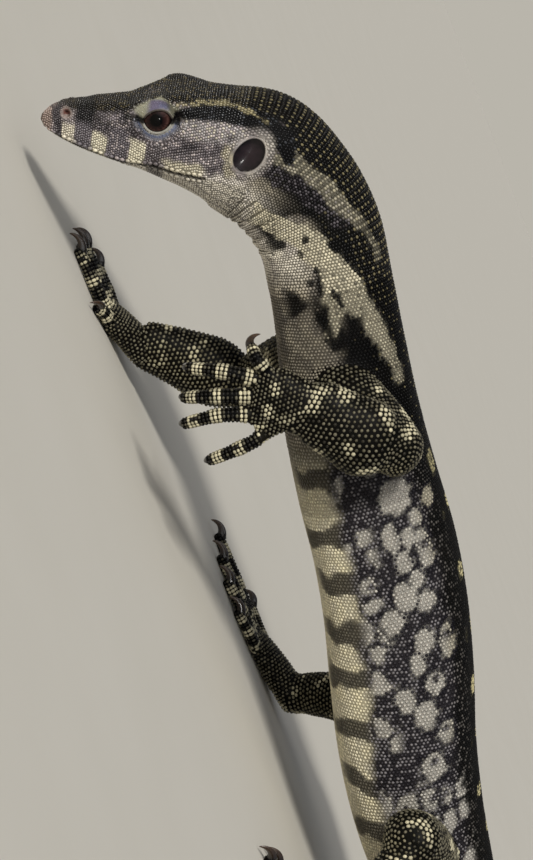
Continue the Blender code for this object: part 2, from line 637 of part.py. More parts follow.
def build_leg(name):
    """The two lengths of a leg, the foot with its digits, and five claws, each cut clear of its carrier."""
    leg, foot = LEGS[name], FEET[name]
    upper = upper_leg(f"{name}_upper", leg, parts)
    trunk_grown()
    boolean(upper, "DIFFERENCE")
    keep_part(upper)
    lower = lower_leg(f"{name}_lower", leg, parts)
    upper_leg("upper_grown", leg, cutters, GAP)
    trunk_grown()
    boolean(lower, "DIFFERENCE")
    keep_part(lower)
    sole = palm(f"{name}_foot", foot)
    for n in range(len(DIGIT_NAMES)):
        digit(foot, n)
    boolean(sole, "UNION")
    lower_leg("lower_grown", leg, cutters, GAP)
    boolean(sole, "DIFFERENCE")
    keep_part(sole)
    for n, word in enumerate(DIGIT_NAMES):
        piece = claw(f"{name}_claw_{word}", foot, n)
        digit(foot, n, GAP)
        boolean(piece, "DIFFERENCE")
        keep_part(piece)


SKIN_DARK, SKIN_MID, SKIN_PALE = (0.035, 0.032, 0.028), (0.10, 0.09, 0.075), (0.55, 0.50, 0.36)
FINISHES = (
    ("eye", (0.10, 0.035, 0.02), 0.08),
    ("eardrum", (0.055, 0.035, 0.04), 0.35),
    ("claw", (0.015, 0.013, 0.012), 0.28),
    ("lower_jaw", SKIN_PALE, 0.5),
    ("head", SKIN_MID, 0.45),
    ("neck", SKIN_MID, 0.5),
    ("chest", SKIN_MID, 0.5),
    ("", SKIN_DARK, 0.5),
)


def finish_for(name):
    """The material of a node: the first finish whose word is in the node's name."""
    word, colour, roughness = next(f for f in FINISHES if f[0] in name)
    title = word or "limb_skin"
    material = bpy.data.materials.get(title)
    if material is None:
        material = bpy.data.materials.new(title)
        material.use_nodes = True
        shader = material.node_tree.nodes["Principled BSDF"]
        shader.inputs["Base Color"].default_value = (*colour, 1.0)
        shader.inputs["Roughness"].default_value = roughness
        shader.inputs["Metallic"].default_value = 0.0
    return material


build_head()
build_body()
for leg_name in LEGS:
    build_leg(leg_name)

corners = [vertex.co for part in parts.objects for vertex in part.data.vertices]
origin = Vector([(min(c[i] for c in corners) + max(c[i] for c in corners)) / 2 for i in range(2)]
                + [min(c.z for c in corners)])
for part in parts.objects:
    part.data.transform(Matrix.Translation(-origin))
    part.data.materials.clear()
    part.data.materials.append(finish_for(part.name))
    part.data.shade_smooth()
    part.data.set_sharp_from_angle(angle=SHARP_ANGLE)
print("origin at", [round(value / MM, 3) for value in origin])
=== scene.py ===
# %% [markdown]
# # A young water monitor, life size
# The model is a museum-like figure of a young lizard that walks with one forefoot lifted and its
# snout close to the ground. The solids of the body are the fixed frame. This script puts a skin
# inside them, sets some sixty thousand separate scales on the skin, and adds eyes, eardrums and
# claws. Lengths in the tables are millimetres, and the last step turns each mesh into metres.

# %% The frame
import json
import math

import bmesh
import bpy
import numpy as np
from mathutils import Matrix, Vector
from mathutils.bvhtree import BVHTree
from mathutils.kdtree import KDTree

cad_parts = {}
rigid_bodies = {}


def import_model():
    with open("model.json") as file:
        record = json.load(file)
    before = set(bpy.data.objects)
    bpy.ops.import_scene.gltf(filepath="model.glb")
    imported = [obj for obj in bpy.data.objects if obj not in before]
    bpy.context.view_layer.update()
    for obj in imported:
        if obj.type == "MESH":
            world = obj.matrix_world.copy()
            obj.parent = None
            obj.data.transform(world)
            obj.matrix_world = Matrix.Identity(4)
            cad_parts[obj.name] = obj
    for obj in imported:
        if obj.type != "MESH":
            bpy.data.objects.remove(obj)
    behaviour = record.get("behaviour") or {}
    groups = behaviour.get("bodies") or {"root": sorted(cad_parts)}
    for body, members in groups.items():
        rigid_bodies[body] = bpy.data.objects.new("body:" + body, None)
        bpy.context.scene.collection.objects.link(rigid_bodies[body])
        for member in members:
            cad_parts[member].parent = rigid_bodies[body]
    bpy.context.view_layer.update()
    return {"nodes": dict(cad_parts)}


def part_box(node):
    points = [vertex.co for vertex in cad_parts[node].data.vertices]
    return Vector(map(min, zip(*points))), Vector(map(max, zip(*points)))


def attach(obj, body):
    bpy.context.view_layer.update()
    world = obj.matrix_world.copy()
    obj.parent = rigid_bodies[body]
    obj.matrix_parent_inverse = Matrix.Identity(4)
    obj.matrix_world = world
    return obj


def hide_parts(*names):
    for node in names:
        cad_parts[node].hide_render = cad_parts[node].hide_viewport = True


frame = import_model()
MM = 0.001
print("frame loaded,", len(frame["nodes"]), "nodes")

# %% [markdown]
# ## The measures of the body
# A lizard's body is close to one bent tube whose section changes from place to place, so it is
# written as rows of sections along a spine. These rows are the ones that the solids were made from.
# The head has a straight frame of its own: d runs back from the tip of the snout, u is towards the
# crown and y is out to the lizard's right.

# %% Rows of the head, the trunk and the tail
HEAD_PITCH = math.radians(61.4)
SNOUT = np.array((-75.0, 0.0, 7.7))
HEAD_ROWS = (
    # d, up, down, half width, power of the top, power of the underside
    (0.0, 1.2, 1.1, 1.6, 2.0, 2.0),
    (0.9, 2.2, 2.0, 2.9, 2.3, 2.6),
    (3.2, 3.7, 3.3, 4.1, 2.6, 3.2),
    (5.9, 4.6, 4.3, 4.8, 2.9, 3.8),
    (10.0, 5.4, 5.5, 5.4, 3.2, 4.2),
    (13.1, 5.9, 6.1, 6.0, 3.4, 4.2),
    (16.1, 6.5, 6.6, 6.9, 3.6, 4.0),
    (19.1, 7.7, 7.1, 7.8, 3.8, 3.6),
    (21.6, 9.0, 7.5, 8.5, 4.0, 3.3),
    (24.2, 10.3, 8.1, 9.1, 4.0, 3.0),
    (27.0, 11.1, 8.9, 9.7, 3.8, 2.8),
    (30.0, 11.3, 9.9, 10.2, 3.4, 2.6),
    (33.8, 11.3, 11.5, 10.8, 2.9, 2.4),
    (37.6, 11.7, 13.7, 11.3, 2.5, 2.3),
)
HEAD_ROLL = math.radians(9.0)
ROLL_START, ROLL_END = 14.45, 19.0
BODY_ROWS = (
    # x and z of the middle, up, down, half width and the two powers
    (-52.0, 47.0, 13.7, 15.2, 11.8, 2.3, 2.2),
    (-42.8, 51.6, 13.6, 14.4, 11.7, 2.2, 2.1),
    (-33.0, 53.2, 13.4, 13.6, 11.8, 2.1, 2.1),
    (-20.7, 51.6, 13.3, 13.3, 12.1, 2.1, 2.1),
    (-7.0, 48.8, 13.9, 13.7, 12.9, 2.1, 2.1),
    (8.0, 45.6, 14.9, 14.8, 14.0, 2.2, 2.1),
    (24.0, 43.4, 15.6, 15.5, 15.5, 2.2, 2.2),
    (38.4, 42.0, 15.9, 15.9, 16.7, 2.2, 2.2),
    (52.5, 39.4, 16.0, 16.1, 17.4, 2.2, 2.2),
    (66.5, 35.6, 16.0, 16.1, 17.6, 2.2, 2.2),
    (82.0, 31.2, 15.4, 15.6, 17.0, 2.2, 2.2),
    (99.0, 28.0, 14.4, 14.8, 15.3, 2.2, 2.2),
    (116.2, 26.3, 12.9, 13.2, 13.0, 2.2, 2.1),
    (132.7, 24.6, 10.8, 10.8, 10.4, 2.1, 2.0),
)
TAIL_ROWS = (
    # distance along the tail, half height, half width, height of its middle, heading in degrees
    (18.0, 9.2, 8.4, 20.8, 1.0),
    (38.0, 8.0, 7.0, 14.6, -7.0),
    (60.0, 7.1, 5.9, 9.0, -15.0),
    (84.0, 6.4, 5.2, 5.7, -20.0),
    (120.0, 6.0, 4.6, 5.2, -19.0),
    (160.0, 5.5, 3.9, 4.75, -6.0),
    (200.0, 4.9, 3.3, 4.25, 12.0),
    (240.0, 4.2, 2.8, 3.65, 28.0),
    (280.0, 3.5, 2.3, 3.0, 37.0),
    (320.0, 2.7, 1.8, 2.35, 37.0),
    (360.0, 1.9, 1.3, 1.65, 28.0),
    (390.0, 1.1, 0.8, 0.95, 18.0),
    (400.0, 0.5, 0.4, 0.43, 14.0),
)
TAIL_TOP_POWER, TAIL_UNDER_POWER = 1.75, 2.3
BROW_D, BROW_LENGTH, BROW_ANGLE, BROW_SPREAD, BROW_HEIGHT = 26.0, 6.5, 0.86, 0.24, 1.5

# %% The axes of the head, and small helpers for rows of points
back_way = Vector((math.cos(HEAD_PITCH), 0.0, math.sin(HEAD_PITCH)))
crown_way = Vector((-math.sin(HEAD_PITCH), 0.0, math.cos(HEAD_PITCH)))
crown_way.rotate(Matrix.Rotation(HEAD_ROLL, 3, back_way))
BACK, CROWN = np.array(back_way), np.array(crown_way)
SIDE = np.cross(CROWN, BACK)


def unit(v):
    return v / np.linalg.norm(v, axis=-1, keepdims=True)


def head_point(d, y, u):
    """Points of the head's own frame, in the lizard's frame."""
    return SNOUT + np.multiply.outer(d, BACK) + np.multiply.outer(y, SIDE) + np.multiply.outer(u, CROWN)


def head_place(points):
    """How far back, sideways and towards the crown points lie in the head's frame."""
    q = points - SNOUT
    return q @ BACK, q @ SIDE, q @ CROWN


def ramp(low, high, x):
    """0 below low, 1 above high, with an eased rise between them."""
    t = np.clip((x - low) / (high - low), 0.0, 1.0)
    return t * t * (3 - 2 * t)


def within(low, high, x, soft):
    """1 between low and high, fading to 0 over a soft edge."""
    return ramp(low - soft / 2, low + soft / 2, x) * (1 - ramp(high - soft / 2, high + soft / 2, x))


def smooth(xs, ys, x):
    """A smooth curve through the points (xs, ys), read at x."""
    xs, ys, x = np.asarray(xs, float), np.asarray(ys, float), np.asarray(x, float)
    steps = np.diff(xs)
    rises = np.diff(ys, axis=0) / steps[:, None]
    slopes = np.empty_like(ys)
    slopes[0], slopes[-1] = rises[0], rises[-1]
    slopes[1:-1] = rises[:-1] * steps[1:, None] + rises[1:] * steps[:-1, None]
    slopes[1:-1] /= (steps[:-1] + steps[1:])[:, None]
    i = np.clip(np.searchsorted(xs, x) - 1, 0, len(steps) - 1)
    t = ((x - xs[i]) / steps[i])[:, None]
    h = steps[i][:, None]
    return (ys[i] * (1 + 2 * t) * (1 - t) ** 2 + slopes[i] * h * t * (1 - t) ** 2
            + ys[i + 1] * t * t * (3 - 2 * t) + slopes[i + 1] * h * t * t * (t - 1))


def path_knots(points):
    """How far along a path each of its points lies."""
    return np.concatenate([[0.0], np.cumsum(np.linalg.norm(np.diff(points, axis=0), axis=1))])


# %% The spine
def spine_rows():
    """All the rows as x, y, z, up, down, half width and the two powers."""
    rows = []
    for d, up, down, half_width, top, under in HEAD_ROWS:
        x, _, z = head_point(d, 0.0, 0.0)
        rows.append((x, 0.0, z, up, down, half_width, top, under))
    for x, z, up, down, half_width, top, under in BODY_ROWS:
        rows.append((x, 0.0, z, up, down, half_width, top, under))
    x, y, along, height = BODY_ROWS[-1][0], 0.0, 0.0, BODY_ROWS[-1][1]
    for distance, half_height, half_width, middle, heading in TAIL_ROWS:
        flat = math.sqrt((distance - along) ** 2 - (height - middle) ** 2)
        x += flat * math.cos(math.radians(heading))
        y += flat * math.sin(math.radians(heading))
        along, height = distance, middle
        rows.append((x, y, middle, half_height, half_height, half_width, TAIL_TOP_POWER, TAIL_UNDER_POWER))
    return np.array(rows)


SPINE = spine_rows()
KNOTS = path_knots(SPINE[:, :3])
TAIL_STARTS = KNOTS[len(HEAD_ROWS) + len(BODY_ROWS) - 1]
print(f"spine {KNOTS[-1]:.1f} mm long, tail from {TAIL_STARTS:.1f} mm")

# %% [markdown]
# ## One surface table for each part
# Skin and scales both need to know where the surface is. So each part is read once into a grid of
# points: rows run along the part, and columns run once around it at equal steps of its girth. The
# share w of the girth starts at the middle of the back and goes down the lizard's left side.

# %% The grid of the body
COLUMNS, ROW_STEP = 240, 0.4
# A ring is read at many points before they are spaced evenly round it.
RING_POINTS, LIMB_RING_POINTS = 721, 241
# The skin lies this deep under the solids' surface, and never deeper than a share of the half width.
SKIN_DEEP, HEAD_SKIN_DEEP, DEEPEST = 0.28, 0.12, 0.15
LOOK_ROUND = 0.05
FLOOR_CLEAR = 0.02


def even_round(rings):
    """Rings read again at equal steps of their length, closed by a repeat of the first point."""
    lengths = np.linalg.norm(np.diff(rings, axis=1), axis=2)
    total = lengths.sum(axis=1)
    grid = np.empty((len(rings), COLUMNS + 1, 3))
    shares = np.linspace(0.0, 1.0, COLUMNS + 1)
    for k, ring in enumerate(rings):
        run = np.concatenate([[0.0], np.cumsum(lengths[k])]) / max(total[k], 1e-9)
        for axis in range(3):
            grid[k, :, axis] = np.interp(shares, run, ring[:, axis])
    return grid, total


def body_grid():
    """The body read at even steps, with the brow ridges raised on the head."""
    s = np.linspace(0.0, KNOTS[-1], int(KNOTS[-1] / ROW_STEP) + 1)
    rows = smooth(KNOTS, SPINE, s)
    deep = HEAD_SKIN_DEEP + (SKIN_DEEP - HEAD_SKIN_DEEP) * ramp(38.0, 60.0, s)
    rows[:, 3:6] -= np.minimum(deep, rows[:, 5] * DEEPEST)[:, None]
    ahead = smooth(KNOTS, SPINE[:, :3], np.minimum(s + LOOK_ROUND, KNOTS[-1]))
    behind = smooth(KNOTS, SPINE[:, :3], np.maximum(s - LOOK_ROUND, 0.0))
    along = unit(ahead - behind)
    across = unit(np.cross((0.0, 0.0, 1.0), along))
    places = np.interp(s, KNOTS, np.arange(len(KNOTS)))
    roll = (HEAD_ROLL * (1 - ramp(ROLL_START, ROLL_END, places)))[:, None]
    across = across * np.cos(roll) + np.cross(along, across) * np.sin(roll)
    upward = np.cross(along, across)
    angle = np.pi / 2 + 2 * np.pi * np.linspace(0.0, 1.0, RING_POINTS)
    c, h = np.cos(angle), np.sin(angle)
    power = 2 / np.where(h[None] >= 0, rows[:, 6, None], rows[:, 7, None])
    x = rows[:, 5, None] * np.sign(c) * np.abs(c) ** power
    y = np.where(h[None] >= 0, rows[:, 3, None], rows[:, 4, None]) * np.sign(h) * np.abs(h) ** power
    outward = across[:, None] * x[..., None] + upward[:, None] * y[..., None]
    points = rows[:, None, :3] + outward
    d, _, _ = head_place(points)
    ridge = np.exp(-((d - BROW_D) / BROW_LENGTH) ** 2)
    ridge *= np.exp(-((np.arctan2(y, np.abs(x)) - BROW_ANGLE) / BROW_SPREAD) ** 2)
    ridge *= BROW_HEIGHT * (y > 0) * (places < len(HEAD_ROWS))[:, None]
    points += unit(outward) * ridge[..., None]
    grid, girth = even_round(points)
    return {"kind": "body", "grid": grid, "girth": girth, "run": s}


body = body_grid()
print(f"body grid {body['grid'].shape}, widest girth {body['girth'].max():.1f} mm")

# %% [markdown]
# ## Legs, feet and digits
# Each leg has two tapered lengths, a flat palm and five digits. Their joints are the ones of the
# solids, and each length ends in a dome.

# %% The joints of the legs and the charts of the feet
LEGS = {
    # x, y, z, half breadth and half thickness at each joint
    "fore_left": {
        "upper": ((-1.5, -5.0, 45.0, 8.6, 8.2), (3.0, -13.0, 48.2, 8.0, 7.2),
                  (8.6, -19.0, 51.6, 7.2, 6.5), (12.6, -22.6, 53.2, 6.9, 6.3)),
        "lower": ((12.0, -23.2, 52.4, 5.2, 4.8), (8.4, -24.8, 49.4, 8.3, 6.5),
                  (2.8, -26.0, 44.8, 7.6, 5.6), (-2.6, -26.4, 40.4, 6.9, 3.9)),
    },
    "fore_right": {
        "upper": ((-1.5, 5.0, 43.0, 8.6, 8.2), (-3.2, 13.5, 37.6, 7.8, 7.2),
                  (-1.6, 19.6, 30.6, 7.1, 6.5), (0.6, 23.4, 24.8, 6.9, 6.3)),
        "lower": ((0.0, 23.6, 24.2, 5.2, 4.8), (-5.0, 24.6, 19.0, 7.8, 6.4),
                  (-11.0, 24.8, 13.0, 6.8, 5.5), (-16.6, 24.4, 6.8, 5.6, 3.9)),
    },
    "hind_left": {
        "upper": ((112.0, -4.0, 25.0, 10.4, 9.6), (105.0, -13.5, 25.6, 9.8, 8.6),
                  (98.0, -23.5, 27.2, 8.6, 7.4), (91.6, -33.0, 27.6, 6.9, 6.5)),
        "lower": ((92.6, -33.6, 26.4, 5.0, 4.6), (98.6, -36.8, 20.8, 6.8, 5.8),
                  (105.4, -39.8, 13.8, 5.7, 4.9), (111.6, -42.0, 6.8, 4.9, 4.0)),
    },
    "hind_right": {
        "upper": ((112.0, 4.0, 25.0, 10.4, 9.6), (103.0, 12.5, 26.6, 9.8, 8.6),
                  (93.0, 21.5, 28.8, 8.6, 7.4), (84.6, 29.0, 29.2, 6.9, 6.5)),
        "lower": ((84.2, 30.4, 27.6, 5.0, 4.6), (82.6, 35.4, 21.2, 6.8, 5.8),
                  (80.4, 40.2, 14.0, 5.7, 4.9), (78.6, 44.2, 6.6, 4.9, 4.0)),
    },
}
FORE_DIGITS = (
    # each digit as three places on a chart: along the foot from the wrist, and across it
    ((7.2, 4.0), (11.8, 7.8), (13.6, 9.8)),
    ((10.5, 3.9), (18.5, 4.2), (25.5, 3.0)),
    ((11.0, 0.4), (19.3, -1.3), (25.1, -3.3)),
    ((10.0, -3.3), (17.4, -5.0), (24.0, -8.7)),
    ((6.0, -5.4), (10.6, -10.0), (17.4, -15.3)),
)
HIND_DIGITS = (
    ((13.0, 4.6), (18.0, 7.0), (23.5, 8.4)),
    ((15.5, 3.2), (23.5, 6.0), (31.0, 7.2)),
    ((16.5, 0.6), (26.5, 2.6), (36.5, 2.8)),
    ((15.5, -2.6), (28.0, -3.8), (40.5, -6.8)),
    ((6.0, -4.8), (13.0, -10.4), (21.5, -16.4)),
)
FEET = {
    "fore_left": {"wrist": (-3.1, -26.4, 39.7), "point": (-0.53, 0.02, -0.85), "back": (0.0, -1.0, 0.0),
                  "side": -1, "floor": False, "digits": FORE_DIGITS, "palm": (11.5, 7.8, 3.1)},
    "fore_right": {"wrist": (-17.0, 24.4, 5.4), "point": (-0.99, -0.04, -0.1), "back": (-0.2, 0.0, 1.0),
                   "side": 1, "floor": True, "digits": FORE_DIGITS, "palm": (11.5, 7.0, 3.1)},
    "hind_left": {"wrist": (111.8, -42.2, 5.4), "point": (-0.90, -0.36, -0.1), "back": (-0.2, 0.0, 1.0),
                  "side": -1, "floor": True, "digits": HIND_DIGITS, "palm": (16.5, 6.2, 3.4)},
    "hind_right": {"wrist": (78.4, 44.4, 5.4), "point": (-0.97, 0.18, -0.1), "back": (-0.2, 0.0, 1.0),
                   "side": 1, "floor": True, "digits": HIND_DIGITS, "palm": (16.5, 6.2, 3.4)},
}
PALM_ROWS = ((-0.1, 0.70, 1.15), (0.3, 0.84, 1.1), (0.65, 0.98, 0.95), (0.9, 0.86, 0.72))
PALM_EASE, SOLE_HEIGHT = 1.6, 0.84
DIGIT_ROOT, DIGIT_TIP, DIGIT_ARCH, HAND_CURL = 1.75, 1.2, 0.9, 1.6
DIGIT_SHARES = np.array((-0.22, 0.0, 0.25, 0.5, 0.75, 1.0))
DIGIT_NAMES = ("one", "two", "three", "four", "five")


# %% Grids of the legs, palms and digits
DOME_TURNS, DOME_REACH, KNUCKLE_SOFT = np.linspace(np.radians(86.0), np.radians(15.0), 6), 0.8, 0.07
LEG_ROWS, FOOT_ROWS, LEG_DEEP, PALM_DEEP, DIGIT_DEEP = 44, 26, 0.25, 0.2, 0.12


def limb_grid(kind, leg, joints, up, deep, rows_count, knuckles=()):
    """A part through its joints, with a dome at each end."""
    joints = np.array(joints, float)
    knots = path_knots(joints[:, :3])
    at = np.linspace(0.0, knots[-1], rows_count)
    rows = smooth(knots, joints, at)
    along = unit(np.gradient(rows[:, :3], axis=0))
    across = unit(np.cross(up, along))
    upward = np.cross(along, across)
    middles, broad, thick = rows[:, :3], rows[:, 3] - deep, rows[:, 4] - deep
    for place, swell in knuckles:
        bump = 1 + swell * np.exp(-((at / knots[-1] - place) / KNUCKLE_SOFT) ** 2)
        broad, thick = broad * bump, thick * bump
    order = [(0, -DOME_REACH * math.sin(turn), math.cos(turn)) for turn in DOME_TURNS]
    order += [(k, 0.0, 1.0) for k in range(rows_count)]
    order += [(rows_count - 1, DOME_REACH * math.sin(turn), math.cos(turn)) for turn in DOME_TURNS[::-1]]
    angle = np.pi / 2 + 2 * np.pi * np.linspace(0.0, 1.0, LIMB_RING_POINTS)
    rings = []
    for k, lift, share in order:
        ring = (middles[k] + along[k] * lift * thick[k]
                + np.outer(np.cos(angle), across[k] * broad[k] * share)
                + np.outer(np.sin(angle), upward[k] * thick[k] * share))
        ring[:, 2] = np.maximum(ring[:, 2], FLOOR_CLEAR)
        rings.append(ring)
    grid, girth = even_round(np.array(rings))
    steps = np.linalg.norm(np.diff(grid, axis=0), axis=2).mean(axis=1)
    run = np.concatenate([[0.0], np.cumsum(steps)])
    return {"kind": kind, "leg": leg, "grid": grid, "girth": girth, "run": run}


def foot_frame(foot):
    """Where a foot points, the way across it to its inner side, and the way out of its back."""
    along = unit(np.array(foot["point"]))
    back = np.array(foot["back"])
    back = unit(back - along * back.dot(along))
    return along, np.cross(back, along) * foot["side"], back


def digit_joints(foot, number):
    """Places and half widths along a digit, which arches and ends on the floor or curls."""
    along, across, back = foot_frame(foot)
    chart = smooth((0.0, 0.5, 1.0), foot["digits"][number], DIGIT_SHARES)
    joints = []
    for share, (forward, inward) in zip(DIGIT_SHARES, chart):
        reach = max(share, 0.0)
        radius = DIGIT_ROOT + (DIGIT_TIP - DIGIT_ROOT) * reach
        arch = DIGIT_ARCH * math.sin(math.pi * reach)
        point = np.array(foot["wrist"]) + along * forward + across * inward + back * arch
        if foot["floor"]:
            point[2] = radius * SOLE_HEIGHT + arch / 2
        else:
            point -= back * (HAND_CURL * reach ** 2)
        joints.append((*point, radius, radius))
    return joints


def palm_joints(foot):
    """Places and half widths along a palm, which settles on the floor where the foot is planted."""
    along, _, _ = foot_frame(foot)
    length, broad, thick = foot["palm"]
    joints = []
    for share, breadth, thickness in PALM_ROWS:
        point = np.array(foot["wrist"]) + along * (length * share)
        if foot["floor"]:
            ease = min(1.0, max(0.0, share * PALM_EASE))
            point[2] = point[2] * (1 - ease) + thick * thickness * SOLE_HEIGHT * ease
        joints.append((*point, broad * breadth, thick * thickness))
    return joints


KNUCKLES = ((0.3, 0.10), (0.62, 0.09), (0.9, 0.06))
limbs = []
for leg_name, leg in LEGS.items():
    foot = FEET[leg_name]
    back = foot_frame(foot)[2]
    toes_up = np.array((0.0, 0.0, 1.0)) if foot["floor"] else back
    limbs.append(limb_grid("upper", leg_name, leg["upper"], (0, 0, 1), LEG_DEEP, LEG_ROWS))
    limbs.append(limb_grid("lower", leg_name, leg["lower"], (0, 1, 0), LEG_DEEP, LEG_ROWS))
    limbs.append(limb_grid("palm", leg_name, palm_joints(foot), back, PALM_DEEP, FOOT_ROWS))
    for number in range(len(DIGIT_NAMES)):
        joints = digit_joints(foot, number)
        limbs.append(limb_grid("digit", leg_name, joints, toes_up, DIGIT_DEEP, FOOT_ROWS, KNUCKLES))
for number, limb in enumerate(limbs):
    limb["number"] = number
print(len(limbs), "limb grids")


# %% Reading a grid at any place
def read_grid(part, run, w):
    """Points of a part at distances along it and shares of the girth."""
    grid = part["grid"]
    i = np.interp(run, part["run"], np.arange(len(grid)))
    j = (np.asarray(w) % 1.0) * COLUMNS
    i0, j0 = np.minimum(i.astype(int), len(grid) - 2), np.minimum(j.astype(int), COLUMNS - 1)
    fi, fj = (i - i0)[..., None], (j - j0)[..., None]
    near = grid[i0, j0] * (1 - fj) + grid[i0, j0 + 1] * fj
    far = grid[i0 + 1, j0] * (1 - fj) + grid[i0 + 1, j0 + 1] * fj
    return near * (1 - fi) + far * fi


# %% [markdown]
# ## The forms of the head
# The section rows give only the outline of the head. Its forms are added as relief: each one moves
# the points of the skin that lie near it. The lids wrap the eyeball, the nostril is a pit with a
# rim, the mouth is a groove under an upper lip that stands out a little, the ear is an open cup
# and the throat has folds. Every form stays where the solids have it, and only the line of the
# snout is moved a little, up in front and down before the eyes, to follow the real one.

# %% The places of the forms
MOUTH_LINE = (
    (-3.0, 0.2), (0.3, -1.0), (1.5, -1.7), (4.5, -2.7), (8.2, -3.7), (10.4, -4.3), (14.0, -5.0), (18.4, -5.3),
    (21.9, -4.8), (24.6, -4.5), (26.5, -4.8), (29.0, -5.1), (31.9, -5.2), (35.3, -5.0),
)
JAW_TUCK, JAW_CORNER = 0.22, 36.0
EYE_D, EYE_U, EYE_RADIUS, EYE_OUT = 24.1, 5.4, 4.0, 9.2
LID_LONG, LID_HIGH, LID_RAISE = 3.0, 2.52, 0.12
LID_RADIUS, SOCKET_RADIUS = 4.42, 3.2
NOSTRIL_D, NOSTRIL_U, NOSTRIL_WIDE = 4.9, 2.9, 0.8
EAR_D, EAR_U, EAR_LONG, EAR_WIDE, EAR_DEEP, EAR_OUT = 43.7, 1.7, 4.1, 3.0, 2.5, 0.9
EAR_LEAN = math.radians(35.0)
EAR_SIDE = BODY_ROWS[0][4] + EAR_OUT
THROAT_FOLDS = (48.5, 51.2, 54.2, 57.6, 61.4, 65.8)


def lid_place(d, u):
    """Shares of the almond of the lids: 1 on its rim, less inside. Also the place across and up."""
    x = d - EYE_D
    z = u - EYE_U - LID_RAISE * x
    square = 1 - 0.2 * np.clip(np.abs(x) / LID_LONG, 0, 1) ** 3
    return np.hypot(x / LID_LONG, z / (LID_HIGH * square)), x, z


def nostril_place(d, u):
    return np.hypot((d - NOSTRIL_D) / (NOSTRIL_WIDE * 1.2), (u - NOSTRIL_U) / NOSTRIL_WIDE)


def ear_place(d, u):
    """Shares of the oval of the ear, and the place along its short and long axes."""
    e = (d - EAR_D) * math.cos(EAR_LEAN) - (u - EAR_U) * math.sin(EAR_LEAN)
    f = (d - EAR_D) * math.sin(EAR_LEAN) + (u - EAR_U) * math.cos(EAR_LEAN)
    return np.hypot(e / EAR_WIDE, f / EAR_LONG), e, f


def ear_oval(turn, share):
    """Places d and u on the oval of the ear."""
    e, f = EAR_WIDE * share * np.cos(turn), EAR_LONG * share * np.sin(turn)
    d = EAR_D + e * math.cos(EAR_LEAN) + f * math.sin(EAR_LEAN)
    return d, EAR_U - e * math.sin(EAR_LEAN) + f * math.cos(EAR_LEAN)


def from_line(x, y, points):
    """How far places are from a broken line."""
    best = np.full(np.shape(x), 1e9)
    for (ax, ay), (bx, by) in zip(points, points[1:]):
        length = (bx - ax) ** 2 + (by - ay) ** 2
        t = np.clip(((x - ax) * (bx - ax) + (y - ay) * (by - ay)) / length, 0, 1)
        best = np.minimum(best, np.hypot(x - ax - t * (bx - ax), y - ay - t * (by - ay)))
    return best


MOUTH_D, MOUTH_U = np.array(MOUTH_LINE).T


def above_mouth(d, u):
    """How far above the mouth's line a place on the head is."""
    return u - np.interp(d, MOUTH_D, MOUTH_U)


def degrees_down(w):
    """Degrees down from the middle of the back, on either side, for a share of the girth."""
    return 360 * np.minimum(w, 1 - w)


def at_openings(d, y, u, upper, lower, brow, nostril, ear):
    """Where a place lies on the lids, in a nostril or in an ear, each out to a share of its form."""
    share, _, z = lid_place(d, u)
    out = np.abs(y)
    lids = (share < np.where(z > 0, upper, lower)) & (out > np.where(z > 2, brow, 3.5)) & (d < 32)
    nostrils = (nostril_place(d, u) < nostril) & (out > 2.0) & (d < 9)
    ears = (ear_place(d, u)[0] < ear) & (out > 5) & (d > 36) & (d < 52)
    return lids | nostrils | ears


# %% Noise that gives the same answer each run
def lattice(cell, seed):
    """A number from 0 to 1 for a cell given by three whole numbers."""
    n = cell[..., 0] * 374761393 + cell[..., 1] * 668265263 + cell[..., 2] * 1440662683 + seed * 974711
    n &= 0xffffffff
    n = ((n ^ (n >> 13)) * 1274126177) & 0xffffffff
    return ((n ^ (n >> 16)) & 0xffff) / 65535.0


def noise(points, size, seed):
    """Soft noise from -1 to 1 whose lumps are about size across."""
    p = np.asarray(points) / size
    base = np.floor(p).astype(np.int64)
    f = p - base
    f = f * f * (3 - 2 * f)
    total = np.zeros(p.shape[:-1])
    for i in (0, 1):
        for j in (0, 1):
            for k in (0, 1):
                weight = (f[..., 0] if i else 1 - f[..., 0]) * (f[..., 1] if j else 1 - f[..., 1])
                weight = weight * (f[..., 2] if k else 1 - f[..., 2])
                total += weight * lattice(base + np.array((i, j, k)), seed)
    return total * 2 - 1


def cells(x, y, size, seed):
    """Cells on a sheet: how far from the nearest wall, from the nearest middle, and a number for each."""
    px, py = np.asarray(x) / size, np.asarray(y) / size
    bx, by = np.floor(px).astype(np.int64), np.floor(py).astype(np.int64)
    first, second, name = np.full(px.shape, 9.0), np.full(px.shape, 9.0), np.zeros(px.shape)
    for i in (-1, 0, 1):
        for j in (-1, 0, 1):
            cell = np.stack([bx + i, by + j, np.zeros_like(bx)], -1)
            far = np.hypot(bx + i + lattice(cell, seed) - px, by + j + lattice(cell, seed + 7) - py)
            nearer = far < first
            second = np.where(nearer, first, np.minimum(second, far))
            name = np.where(nearer, lattice(cell, seed + 13), name)
            first = np.where(nearer, far, first)
    return second - first, first, name


